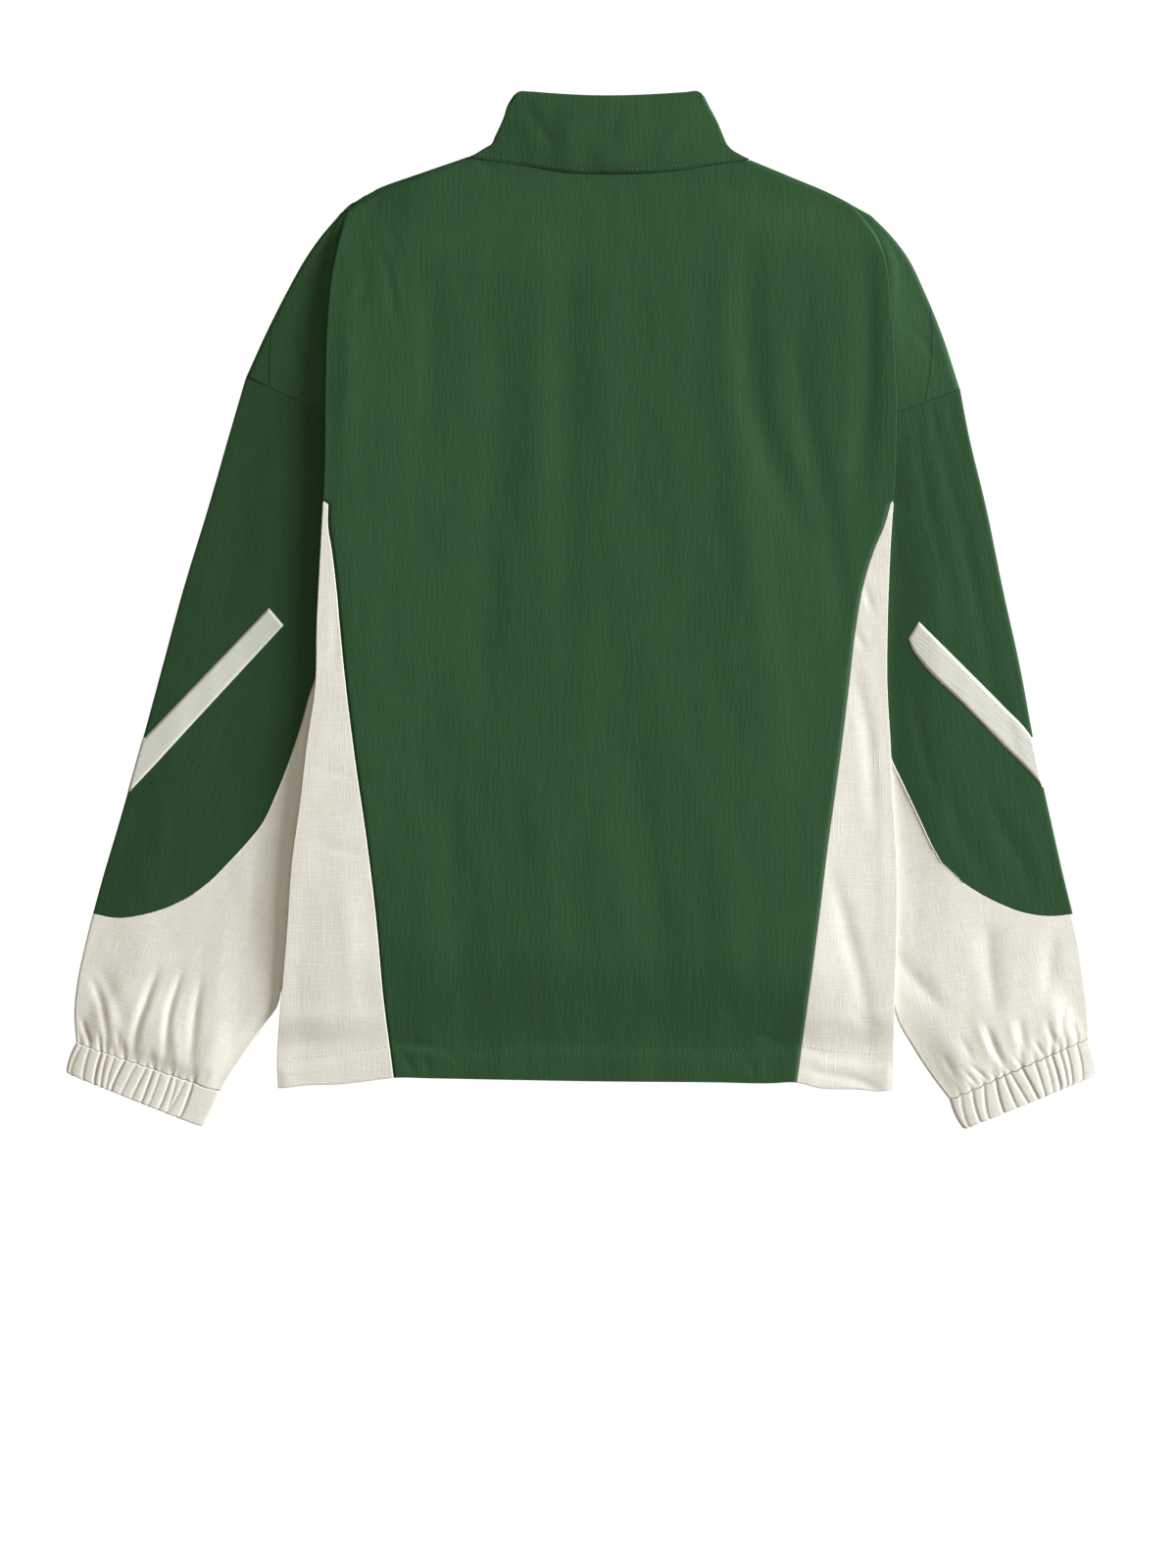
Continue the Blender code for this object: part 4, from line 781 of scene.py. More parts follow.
def body_rows():
    """Heights of the rows of the body, from the shoulder down to the hem."""
    start = TOP_Y - np.array([0, *EDGE_STEPS])
    end = HEM_Y + np.array([*EDGE_STEPS[::-1], 0])
    marks = [*start, 262, SLEEVE_Y, TIP_Y, ARMPIT_Y, -200, LIFT_END_Y, FLOOR_Y, *end]
    return stations(marks, SPACING)


def row_of(rows, y):
    return int(np.argmin(np.abs(rows - y)))


def armhole_x(side, y):
    (x0, y0), (x1, y1) = ARMHOLE[side]
    return x0 + (x1 - x0) * (y - y0) / (y1 - y0)


def lip_x(side, y):
    """Where the layer above the body's side fold starts to be drawn with that fold."""
    lip = TIP_LIP + (LIP - TIP_LIP) * ease(np.abs(np.asarray(y, float) - TIP_Y) / TIP_REACH)
    return column(SIDE_FOLD, side, y) - SIGN[side] * (FOLD_RADIUS * FOLD_SQUASH + lip)


def wing_shares(length):
    """Shares of a shoulder's row, with closer lines at its outer end."""
    steps = np.minimum(EDGE_STEPS, length * np.array([0.05, 0.12, 0.25]))
    inner = np.linspace(0, length - steps[-1], WING_COLUMNS - len(EDGE_STEPS) + 1)[1:]
    return np.concatenate([inner, length - steps[1::-1], [length]]) / length


def tuck_path(side, y, outer_plan, top_row):
    """One row of the shoulder's fold: from the back's edge round under it and out to the shoulder."""
    sign = SIGN[side]
    split = np.array([lip_x(side, y), y])
    if top_row:
        near = straight(split, outer_plan, np.linspace(0, 0.3, FOLD_COLUMNS + HOLLOW_COLUMNS + 4))
        far = straight(near[-1], outer_plan, wing_shares(np.linalg.norm(outer_plan - near[-1])))
        return with_height(np.concatenate([near, far]), EDGE_LOW)
    degrees, drop, lean, fold_radius, hollow, run = (
        float(np.clip(column(TUCK, name, y), *limits)) for name, limits in TUCK_LIMITS.items())
    turn = math.radians(degrees)
    if degrees < 179:
        run += max((drop - (fold_radius + hollow) * (1 - math.cos(turn))) / math.sin(turn), 0.3)
    squash = 1 - (1 - FOLD_SQUASH) * (turn / math.pi) ** 2
    tangent = column(SIDE_FOLD, side, y) - sign * FOLD_RADIUS * squash
    x, fallen, heading = tangent, 0.0, 0.0
    path = [(split[0], 0.0), (tangent - sign * FOLD_START, 0.0), (tangent, 0.0)]
    for radius, bend, steps in ((fold_radius, turn, FOLD_COLUMNS), (0, run, 1),
                                (hollow, -turn, HOLLOW_COLUMNS)):
        for _ in range(steps):
            part = bend / steps if radius else 0.0
            chord = 2 * radius * math.sin(abs(part) / 2) if radius else run
            x += sign * math.cos(heading + part / 2) * chord * (squash if bend > 0 else 1)
            fallen += math.sin(heading + part / 2) * chord
            heading += part
            path.append((x, fallen))
    path = np.array(path)
    path[:, 1] = edge_height(side, y) - path[:, 1] * drop / max(path[-1, 1], 0.05)
    ys = y - sign * lean * (path[:, 0] - tangent)
    start = np.array([path[-1, 0], ys[-1]])
    reach = np.linalg.norm(outer_plan - start)
    out = straight(start, outer_plan, wing_shares(reach))
    blend = ease(np.linalg.norm(out - start, axis=1) / min(12, 0.6 * reach))
    wing = with_height(out, path[-1, 1] + (arm_height(side, *spread(out)) - path[-1, 1]) * blend)
    return np.concatenate([np.stack([path[:, 0], ys, path[:, 1]], axis=1), wing])


def wing_edge(side, rows):
    """Outline points of the shoulder for the rows down to the sleeve's seam."""
    return along(SHOULDER[side][3:], (TOP_Y - rows) / (TOP_Y - SLEEVE_Y))


def under_path(side, y):
    """One row of the side fold below the shoulder seam: from the back's edge to the armhole's seam."""
    sign = SIGN[side]
    reach = FOLD_RADIUS * FOLD_SQUASH
    tangent = column(SIDE_FOLD, side, y) - sign * reach
    top = float(edge_height(side, y))
    turns = np.pi * even(FOLD_COLUMNS)
    inner = armhole_x(side, y) if y >= ARMPIT_Y else line_x(SLEEVE_IN[side], y)
    inner = sign * min(sign * inner, sign * tangent - 2)
    xs = [lip_x(side, y), tangent - sign * FOLD_START, *(tangent + sign * reach * np.sin(turns)),
          *np.linspace(tangent, inner, 5)[1:]]
    falls = [0, 0, *(FOLD_RADIUS * (1 - np.cos(turns))), *[2 * FOLD_RADIUS] * 4]
    return np.stack([xs, np.full(len(xs), y), top - np.array(falls)], axis=1)


def seam_edge(side, rows):
    """Left or right edge of the back's middle: near the side fold down to the tip, then the seam."""
    sign, fold = SIGN[side], lip_x(side, rows)
    seam = sign * np.minimum(sign * column(SIDE_SEAM, side, rows), sign * fold)
    return np.stack([np.where(rows > TIP_Y - 0.5, fold, seam), rows], axis=1)


def shoulder_to(outline, x):
    """The shoulder's outline from the neck as far as x."""
    outline = np.array(outline[:4], float)
    order = np.argsort(outline[:, 0])
    y = read_line(outline[order, 0], outline[order, 1], np.array([x]))[0]
    inside = np.abs(outline[:, 0] - outline[0, 0]) < abs(x - outline[0, 0]) - 4
    return np.concatenate([outline[inside], [[x, y]]])


def upper_edge(edges, neck, counts):
    """A panel's upper edge: left shoulder, neck line and right shoulder, with each point's share."""
    left, right = (along(shoulder_to(SHOULDER[side], edges[side][0, 0]), even(count))
                   for side, count in zip(SIDES, counts))
    line = np.concatenate([left[::-1], neck, right])
    edges["left"][0], edges["right"][0] = line[0], line[-1]
    return line, (line[:, 0] - line[0, 0]) / (line[-1, 0] - line[0, 0])


def panel(edges, neck, counts, rows):
    """Plan of a panel's middle, from its upper edge down to the hem."""
    top, u = upper_edge(edges, neck, counts)
    bottom = straight(edges["left"][-1], edges["right"][-1], u)
    return patch(top, bottom, edges["left"], edges["right"], u, (rows[0] - rows) / (rows[0] - rows[-1]))


def back_strip(side, rows, tip, seam_row, middle):
    """Columns past the back's middle: lip, fold, layer turned under, hollow fold and shoulder."""
    edge = wing_edge(side, rows[:seam_row + 1])
    paths = [tuck_path(side, rows[row], edge[row], row == 0)[1:] for row in range(seam_row + 1)]
    strip = np.zeros((len(rows), len(paths[0]), 3))
    strip[:] = middle[:, :1] if side == "left" else middle[:, -1:]
    strip[:seam_row + 1] = paths
    for row in range(seam_row + 1, tip + 1):
        path = under_path(side, rows[row])[1:]
        strip[row, :len(path)] = path
        strip[row, len(path):] = path[-1]
    return strip


def without_sides(keep, start, width):
    """Leave out the outermost columns of a grid's cells on both sides, from a row on."""
    keep[start:, :width] = keep[start:, -width:] = False


def make_back():
    rows = body_rows()
    tip, seam_row = row_of(rows, TIP_Y), row_of(rows, SLEEVE_Y)
    edges = {side: seam_edge(side, rows) for side in SIDES}
    plan = panel(edges, along(NECK_SEAM, even(72))[1:-1], (30, 27), rows)
    middle = with_height(plan, back_height(*spread(plan)))
    strips = {side: back_strip(side, rows, tip, seam_row, middle) for side in SIDES}
    points = np.concatenate([strips["left"][:, ::-1], middle, strips["right"]], axis=1)
    shoulder = points[:seam_row + 1]
    shoulder[..., 2] = shoulder_fall(*np.moveaxis(shoulder, -1, 0))
    keep = np.ones((len(rows) - 1, points.shape[1] - 1), bool)
    without_sides(keep, tip, strips["left"].shape[1])
    without_sides(keep, seam_row, WING_COLUMNS + HOLLOW_COLUMNS)
    return Cloth("back_panel", follow_hem(points), "green_cloth", "back", keep, dip=0.15)


def front_seam(side, rows):
    """Seam between front and side panel on the hidden layer, from the underarm's step to the hem."""
    start = armhole_x(side, ARMPIT_Y) - SIGN[side] * STEP
    end = column(SIDE_SEAM, side, HEM_Y)
    return np.stack([start + (end - start) * (ARMPIT_Y - rows) / (ARMPIT_Y - HEM_Y), rows], axis=1)


def zip_x(y):
    """The centre line of the garment, which leans a little."""
    return CENTER_X + CENTER_LEAN * y


def make_front():
    rows = stations([TOP_Y, TOP_Y - 1, TOP_Y - 3, SLEEVE_Y, ARMPIT_Y, LIFT_END_Y, HEM_Y + 2, HEM_Y],
                    UNDER_SPACING)
    armpit, seam_row = row_of(rows, ARMPIT_Y), row_of(rows, SLEEVE_Y)
    edges = {}
    for side in SIDES:
        upper = np.stack([armhole_x(side, rows) - SIGN[side] * STEP, rows], axis=1)
        edges[side] = np.where((rows > ARMPIT_Y - 0.5)[:, None], upper, front_seam(side, rows))
    neck = {side: along(FRONT_NECK[side], even(22)) for side in SIDES}
    neck = np.concatenate([neck["left"][1:], neck["right"][:0:-1]])
    middle = follow_hem(panel(edges, neck, (9, 9), rows))
    slit = middle.shape[1] // 2
    for number, sign in ((slit - 1, -1), (slit, 1)):
        middle[:, number, 0] = zip_x(middle[:, number, 1]) + sign * ZIP_WIDTH / 2
    middle[-1, :, 1] += 1.0
    slit_row = row_of(middle[:, slit, 1], ZIP_END_Y)
    wings = {side: front_wing(side, rows, seam_row, middle) for side in SIDES}
    plan = np.concatenate([wings["left"][:, ::-1], middle, wings["right"]], axis=1)
    width = wings["left"].shape[1]
    keep = np.ones((len(rows) - 1, plan.shape[1] - 1), bool)
    without_sides(keep, armpit, width)
    without_sides(keep, seam_row, width - 1)
    keep[:slit_row, width + slit - 1] = False
    points = on_surface("front", plan)
    points[..., 2] *= ease((np.abs(plan[..., 0] - zip_x(plan[..., 1])) - CALM_ZIP[0]) / CALM_ZIP[1])
    return Cloth("front_panel", points, "green_cloth", "front", keep, flip=True)


def front_wing(side, rows, seam_row, middle):
    """Columns of the front from the underarm's step out to the shoulder's edge."""
    edge = wing_edge(side, rows[:seam_row + 1])
    inner = middle[:, 0] if side == "left" else middle[:, -1]
    hole = np.stack([armhole_x(side, rows), rows], axis=1)
    wing = np.repeat(hole[:, None], FRONT_WING_COLUMNS, axis=1)
    for row in range(seam_row):
        wing[row] = straight(inner[row], edge[row], even(FRONT_WING_COLUMNS))[1:]
    wing[seam_row] = straight(hole[seam_row], edge[seam_row], even(FRONT_WING_COLUMNS - 1))
    return wing


def make_side(side):
    """Cream side panel: from the back's seam round the side fold and in under it to the front's seam."""
    rows = body_rows()
    rows = rows[row_of(rows, TIP_Y):]
    seam, under = seam_edge(side, rows), front_seam(side, rows)
    seam[0, 0] = lip_x(side, TIP_Y)
    paths = []
    for row, y in enumerate(rows):
        fold = under_path(side, y)[1:]
        width = np.linalg.norm(seam[row] - fold[0, :2])
        near = np.minimum(EDGE_STEPS, width * np.array([0.1, 0.2, 0.35]))
        shares = [0, *near, *np.linspace(near[-1], width, SIDE_COLUMNS + 2)[1:-1]]
        upper = straight(seam[row], fold[0, :2], np.array(shares) / max(width, 1e-6))
        upper = with_height(upper, back_height(*spread(upper)))
        inner = fold[-1]
        end = under[row] if y < ARMPIT_Y + 0.5 else inner[:2] - (SIGN[side] * (STEP + 2), 0)
        ramp = straight(inner[:2], end, even(RAMP_COLUMNS))[1:]
        fall = ease(np.abs(ramp[:, 0] - inner[0]) / (STEP - 2))
        paths.append(np.concatenate([upper, fold, with_height(ramp, inner[2] * (1 - fall))]))
    points = follow_hem(np.stack(paths))
    keep = np.ones((len(rows) - 1, points.shape[1] - 1), bool)
    keep[:row_of(rows, ARMPIT_Y), -RAMP_COLUMNS:] = False
    return Cloth("side_panel_" + side, points, "cream_body", "side_" + side, keep,
                 flip=side == "left", dip=0.35, slot="cream_cloth")


# ---- sleeves --------------------------------------------------------------------------------------

def sleeve_grid(side):
    """Plan of the green sleeve's upper layer: rows down the sleeve, columns from outer to inner."""
    armhole = straight(*ARMHOLE[side], edge_shares(SLEEVE_Y - ARMPIT_Y, both=False))
    down = along(SLEEVE_SEAM_DOWN[side], edge_shares(lengths(SLEEVE_SEAM_DOWN[side])[-1]))
    inner = np.concatenate([armhole, down[1:]])
    v = lengths(inner) / lengths(inner)[-1]
    edge = along(SLEEVE_OUT[side], v)
    outer = edge + inward(edge, side) * ARM_ROLL
    u = 1 - edge_shares(lengths(SLEEVE_SEAM_ACROSS[side])[-1], both=False)[::-1]
    across = along(SLEEVE_SEAM_ACROSS[side], 1 - u)
    outer[0] = toward(edge[0], inner[0], ARM_ROLL)
    outer[-1] = across[0] = toward(edge[-1], across[1], ARM_ROLL)
    top = straight(outer[0], inner[0], u)
    return patch(top, across, outer, inner, u, v), edge, down, across


def make_sleeve(side):
    plan, edge, _, _ = sleeve_grid(side)
    height = arm_height(side, *spread(plan))
    fold = roll(plan[:, 0], unit(edge - plan[:, 0]), ARM_ROLL, height[:, 0], 0.0)
    under = on_surface("sleeve", plan[:, thinned(plan.shape[1], 3)[::-1]])
    under[:, 0, 2] = 0.0
    points = np.concatenate([with_height(plan, height)[:, ::-1], fold, under], axis=1)
    return Cloth("sleeve_green_" + side, points, "green_" + side, "sleeve_" + side,
                 flip=side == "left", dip=0.15, slot="green_cloth")


def lower_plan(side):
    """Plan of the cream lower sleeve's upper layer: from its seam with the green down to the cuff."""
    _, _, down, across = sleeve_grid(side)
    seam = np.concatenate([across, down[::-1][1:]])
    v = edge_shares(LOWER_LENGTH, LOWER_SPACING)
    edge, inner_edge = along(LOWER_OUT[side], v), along(SLEEVE_IN[side], v)
    outer = edge + inward(edge, side) * ARM_ROLL
    inner = inner_edge - inward(inner_edge, side) * ARM_ROLL
    outer[0], inner[0] = seam[0], seam[-1]
    inner_edge[0] = inner[0] + inner_edge[1] - inner[1]
    outer[-1] = toward(edge[-1], inner_edge[-1], ARM_ROLL)
    inner[-1] = toward(inner_edge[-1], edge[-1], ARM_ROLL)
    shares = lengths(seam) / lengths(seam)[-1]
    cuff = straight(outer[-1], inner[-1], shares)
    plan = patch(seam, cuff, outer, inner, shares, v)
    way = unit(np.array(CUFF_OUT[side], float) - edge[-1])
    plan += scallop(side, shares[None], np.linalg.norm(plan - cuff[None], axis=2))[..., None] * way
    return plan, edge, inner_edge


def pressed_ring(name, plan, heights, edges, under, side, node, dip):
    """A pressed tube in closed rows: upper layer, inner fold, lower layer, outer fold."""
    outer, inner = (roll(plan[:, end], unit(edge - plan[:, end]), ARM_ROLL, heights[:, end],
                         under[:, -1 - end, 2]) for end, edge in zip((0, -1), edges))
    points = np.concatenate([with_height(plan, heights), inner, under, outer[:, ::-1]], axis=1)
    return Cloth(name + side, points, "cream_" + side, node + side, closed=True, flip=side == "right",
                 dip=dip, slot="cream_cloth")


def cuff_line(side):
    """The seam between a lower sleeve and its cuff, from the outer to the inner corner."""
    return np.array([LOWER_OUT[side][-1], SLEEVE_IN[side][-1]], float)


def scallop(side, shares, from_seam):
    """How far the seam at the cuff is moved on, between the cuff's folds, at each place beside it."""
    folds = np.array([0.0, *CUFF_FOLDS[side]["seam"], 1.0])
    cell = np.clip(np.searchsorted(folds, shares) - 1, 0, len(folds) - 2)
    wide = folds[cell + 1] - folds[cell]
    bow = CUFF_SCALLOP * hump((shares - folds[cell]) / wide) * np.minimum(1, wide * 14)
    return bow * (1 - ease(from_seam / 7))


def cuff_tucks(side):
    """Short tucks of the sleeve's cloth above the folds of its cuff."""
    outer, inner = cuff_line(side)
    up = unit(np.array(LOWER_OUT[side][-2], float) - outer)
    tucks = []
    for share, depth in zip(CUFF_FOLDS[side]["seam"], CUFF_FOLDS[side]["depth"]):
        foot = outer + (inner - outer) * share
        reach = up * (TUCK_LINE[0] + TUCK_LINE[1] * depth)
        half = TUCK_HALF[0] + TUCK_HALF[1] * depth
        tucks.append((half, TUCK_DEEP * depth, foot - reach, foot, foot + reach))
    return tucks


def make_lower(side):
    plan, *edges = lower_plan(side)
    x, y = spread(plan)
    to_cuff, across = reach_to(cuff_line(side), x, y)
    heights = arm_height(side, x, y)
    heights += PUFF * np.exp(-((to_cuff - PUFF_REACH) / PUFF_REACH) ** 2) * both_ends(across, 6)
    near = (1 - ease(to_cuff / CUFF_MEET["reach"])) * both_ends(across, 5) * CUFF_MEET["share"]
    heights += (CUFF_ROUND - CUFF_MEET["below"] - heights) * near
    heights -= crease_depth(CUFF_GATHERS[side], x, y, shoulder=0.6, core=0.25)
    heights -= crease_depth(cuff_tucks(side), x, y, shoulder=0.6, core=0.3)
    under = on_surface("lower", plan[:, thinned(plan.shape[1], 3)])
    under[:, [0, -1], 2] = 0.0
    under[:2, :, 2] = THIN + 0.1
    return pressed_ring("sleeve_cream_", plan, np.maximum(heights, LOWER_LEAST), edges, under, side,
                        "sleeve_lower_", 0.35)


def cuff_height(side, shares, v, width):
    """Height of a cuff over its length: soft swellings between sharp folds."""
    folds = CUFF_FOLDS[side]
    places = np.array(folds["seam"])[None] * (1 - v[:, None]) + np.array(folds["end"])[None] * v[:, None]
    gaps = np.abs(shares[None, :, None] - places[:, None, :]) * width[:, None, None]
    body = CUFF_EDGE + (CUFF_ROUND - CUFF_EDGE) * np.sqrt(hump(shares))
    swell = CUFF_SWELL * (1 - np.exp(-gaps.min(axis=2) / CUFF_SWELL_REACH))
    folds_in = (np.array(folds["depth"]) * np.exp(-(gaps / CUFF_GROOVE) ** 2)).sum(axis=2)
    return body[None] + swell - (0.72 + 0.28 * hump(v)[:, None]) * CUFF_FOLD_SHARE * folds_in


def make_cuff(side):
    """Elastic cuff: a pressed ring whose cloth is drawn up in uneven folds."""
    starts = cuff_line(side)
    ends = np.array([CUFF_OUT[side], CUFF_IN[side]], float)
    length = np.linalg.norm(ends[0] - starts[0])
    v = edge_shares(length, CUFF_SPACING)
    edge, inner_edge = (straight(start, end, v) for start, end in zip(starts, ends))
    past = np.clip((CUFF_CORNER - length * (1 - v)) / CUFF_CORNER, 0, 1)[:, None]
    bow = CUFF_BOW[side] * np.sin(np.pi * v)[:, None] - CUFF_CORNER * (1 - np.sqrt(1 - past ** 2))
    out = unit(inner_edge - edge)
    edges = edge - out * bow, inner_edge + out * bow
    width = np.linalg.norm(edges[1] - edges[0], axis=1) - 2 * ARM_ROLL
    shares = even(CUFF_COLUMNS)
    plan = np.stack([straight(a + way * ARM_ROLL, b - way * ARM_ROLL, shares)
                     for a, b, way in zip(*edges, out)])
    plan += scallop(side, shares[None], length * v[:, None])[..., None] * unit(ends[0] - starts[0])
    heights = cuff_height(side, shares, v, width)
    low = thinned(len(shares), 2)
    lows = heights[:, low]
    under = with_height(plan[:, low], np.maximum(0, CUFF_UNDER * (lows.mean() - lows) - 0.1))
    under[:, [0, -1], 2] = 0.0
    return pressed_ring("cuff_gathered_", plan, heights, edges, under, side, "cuff_", 0.5)


def tape_strands(side):
    """Lines along the tape, side by side, from its inner end to the sleeve's outer fold."""
    sign = SIGN[side]
    upper, lower = (along(TAPE_EDGES[side][edge], even(TAPE_ROWS)) for edge in ("upper", "lower"))
    strands = []
    for place in even(TAPE_STRANDS):
        strand = upper + (lower - upper) * place
        edge = line_x(SLEEVE_OUT[side], strand[:, 1]) - sign * (ARM_ROLL + 0.5)
        over = int(np.argmax((strand[:, 0] - edge) * sign > 0))
        strand = strand[:over + 1]
        strand[-1, 0] = edge[over]
        strands.append(along(strand, even(TAPE_ROWS)))
    return np.stack(strands, axis=1)


def make_tape(side, sleeve):
    """Tape stitched to the sleeve: it lies on the sleeve's cloth and goes on round its outer fold."""
    surface = sleeve.surface()
    plan = tape_strands(side)
    rows = [(row, 0, 90) for row in plan] + [(plan[-1], ARM_ROLL, turn) for turn in TAPE_TURNS]
    points = []
    for row, centre_z, turn in rows:
        tilt = math.radians(turn)
        way = Vector((SIGN[side] * math.cos(tilt), 0, math.sin(tilt))).normalized()
        feet = [surface.ray_cast(Vector((*place, centre_z)) + way * 30, -way)[0] for place in row]
        points.append([foot + way * (TAPE_GAP + TAPE_THICK) for foot in feet])
    return Cloth("tape_" + side, np.array(points), "tape_" + side, "stripe_" + side, thick=TAPE_THICK,
                 flip=side == "right", dip=0.12, slot="tape")


# ---- collar and zip -------------------------------------------------------------------------------

def make_collar():
    """Stand collar: front half, fold, back, fold, front half, open at the zip."""
    rows, shares = edge_shares(COLLAR_HIGH, COLLAR_SPACING["down"]), even(COLLAR_COLUMNS)
    late = ease((rows - 0.9) / 0.1)[:, None]
    top, bottom = along(COLLAR_TOP, shares), along(NECK_SEAM, shares)
    edges, tangents = {}, {}
    for side, end in zip(SIDES, (0, -1)):
        edge = along(COLLAR_SIDE[side], rows) + late * COLLAR_CORNER * (-SIGN[side], 1)
        tangent = edge + inward(edge, side) * COLLAR_ROLL
        tangent += late * (toward(edge[-1], bottom[1 if end == 0 else -2], COLLAR_ROLL) - tangent[-1])
        top[end], bottom[end] = tangent[0], tangent[-1]
        edges[side], tangents[side] = edge, tangent
    plan = patch(top, bottom, tangents["left"], tangents["right"], shares, rows)
    away = both_ends(shares, 3) * ease((1 - rows) * 8)[:, None]
    swell = COLLAR_RISE * hump(rows)[:, None] ** 0.5 * hump(shares)
    height = REST + swell + COLLAR_LEAN * (1 - rows[:, None])
    height += (ripple("collar", *spread(plan)) - crease_depth(COLLAR_CREASES, *spread(plan))) * away
    parts = {}
    front_shares = edge_shares(COLLAR_HALF, COLLAR_SPACING["front"])
    past_fold = COLLAR_PAST + (1 - COLLAR_PAST) * front_shares[1:]
    for side, end in zip(SIDES, (0, -1)):
        tangent = tangents[side]
        fold = roll(tangent, (edges[side] - tangent) / COLLAR_ROLL, COLLAR_ROLL, height[:, end], BAND)
        lines = [along(line[side], past_fold) for line in (FRONT_COLLAR_TOP, FRONT_NECK)]
        centre = straight(lines[0][-1], lines[1][-1], rows)
        lines = [np.concatenate([[start], line]) for start, line in zip((tangent[0], tangent[-1]), lines)]
        half = patch(*lines, tangent, centre, front_shares, rows)
        low = BAND * np.exp(-np.linalg.norm(half - half[:, :1], axis=2) / 5)
        parts[side] = np.concatenate([fold, with_height(half, low)], axis=1)
    points = np.concatenate([parts["left"][:, ::-1], with_height(plan, height), parts["right"]], axis=1)
    return Cloth("collar_band", points, "green_cloth", "collar", thick=BAND, dip=0.3)


def make_zip():
    """Tape of the closed half zip, in the front's slit and between the collar's ends."""
    ys = np.linspace(ZIP_TOP_Y, ZIP_END_Y - UNDER_SPACING, 100)
    offsets = np.linspace(-0.5, 0.5, 9) * ZIP_WIDTH
    plan = np.stack([np.stack([zip_x(ys) + offset, ys], axis=1) for offset in offsets], axis=1)
    return Cloth("zip_tape", with_height(plan, ZIP_Z), "zip_tape_cloth", "zip", flip=True, dip=0.05,
                 slot="zip")


def joined(name, parts, finish, node, slot):
    """Many small parts, each a list of points (mm) and its faces, joined into one mesh."""
    points, faces = [], []
    for part, part_faces in parts:
        faces += [tuple(corner + len(points) for corner in face) for face in part_faces]
        points += [tuple(MM * value for value in point) for point in part]
    mesh = bpy.data.meshes.new(name)
    mesh.from_pydata(points, [], faces)
    return put_in_scene(name, mesh, finish, node)


def lozenge(centre, way, up, length, width, height):
    """A rounded bead along way: three rings of eight corners between two ends."""
    side = np.cross(up, way)
    points = [centre - way * length / 2]
    for place, share in ((-0.38, 0.8), (0, 1), (0.38, 0.8)):
        for turn in np.arange(8) * math.pi / 4:
            points.append(centre + way * length * place + share * (
                side * width / 2 * math.cos(turn) + up * height / 2 * math.sin(turn)))
    points.append(centre + way * length / 2)
    faces = [(0, 1 + (n + 1) % 8, 1 + n) for n in range(8)]
    for ring in (1, 9):
        faces += [(ring + n, ring + (n + 1) % 8, ring + 8 + (n + 1) % 8, ring + 8 + n) for n in range(8)]
    faces += [(25, 17 + n, 17 + (n + 1) % 8) for n in range(8)]
    return points, faces


def make_zip_teeth():
    """The coil's teeth, from both sides in turn, and the slider at the top end, without a pull."""
    across, on, up = np.eye(3)
    teeth = []
    for number, y in enumerate(np.arange(ZIP_END_Y + 3, ZIP_TOP_Y - SLIDER_LENGTH, TOOTH_PITCH)):
        x = zip_x(y) + (TOOTH_OFFSET if number % 2 else -TOOTH_OFFSET)
        teeth.append(lozenge(np.array((x, y, TOOTH_Z)), across, up, TOOTH_LENGTH, 1.3 * TOOTH_PITCH,
                             TOOTH_HIGH))
    joined("zip_teeth", teeth, "zip_coil", "zip", "zip")
    y = ZIP_TOP_Y - 0.6 * SLIDER_LENGTH
    centre = np.array((zip_x(y), y, SLIDER_HIGH / 2 + 0.05))
    body = lozenge(centre, on, up, SLIDER_LENGTH, SLIDER_WIDTH, SLIDER_HIGH)
    joined("zip_slider", [body], "slider", "zip", "zip")


# ---- stitches -------------------------------------------------------------------------------------

def stitch_row(surface, line, from_above=True, length=STITCH_LONG, gap=STITCH_GAP, radius=STITCH_RADIUS,
               lift=0.35, height=None):
    """Stitches along a line, on a cloth's surface or at one height; lift is a share of their radius."""
    total = lengths(line)[-1]
    count = int(total / (length + gap))
    starts = (np.arange(count) + 0.5 * gap / (length + gap)) / count
    marks = along(line, np.concatenate([starts, starts + length / total]))
    up = Vector((0, 0, 1 if from_above else -1))
    beads = []
    for ends in zip(marks[:count], marks[count:]):
        feet = [surface.ray_cast(Vector((*place, 0)) + up * 30, -up)[0] if height is None
                else (*place, height) for place in ends]
        if None not in feet:
            a, b = np.array(feet)
            centre = (a + b) / 2 + np.array(up) * lift * radius
            centre[2] = max(centre[2], radius)
            beads.append(lozenge(centre, unit(b - a), np.array(up), length, 2 * radius, 2 * radius))
    return beads


def sew_neck(collar):
    """Stitches along the lower edge of the collar, back and front, and a dark cord-like line below it,
    painted shadow of the seam.
    """
    surface = collar.surface()
    rows = stitch_row(surface, beside(NECK_SEAM, NECK_STITCH)[1:-1])
    for side in SIDES:
        line = beside(FRONT_NECK[side], -SIGN[side] * NECK_STITCH)[3:]
        rows += stitch_row(surface, line, from_above=False)
    joined("neck_stitches", rows, "green_thread", "collar", "green_cloth")
    seam = stitch_row(surface, beside(NECK_SEAM, 0.15)[1:-1], **NECK_CORD)
    joined("neck_seam", seam, "painted_seam_shadow", "collar", "green_cloth")


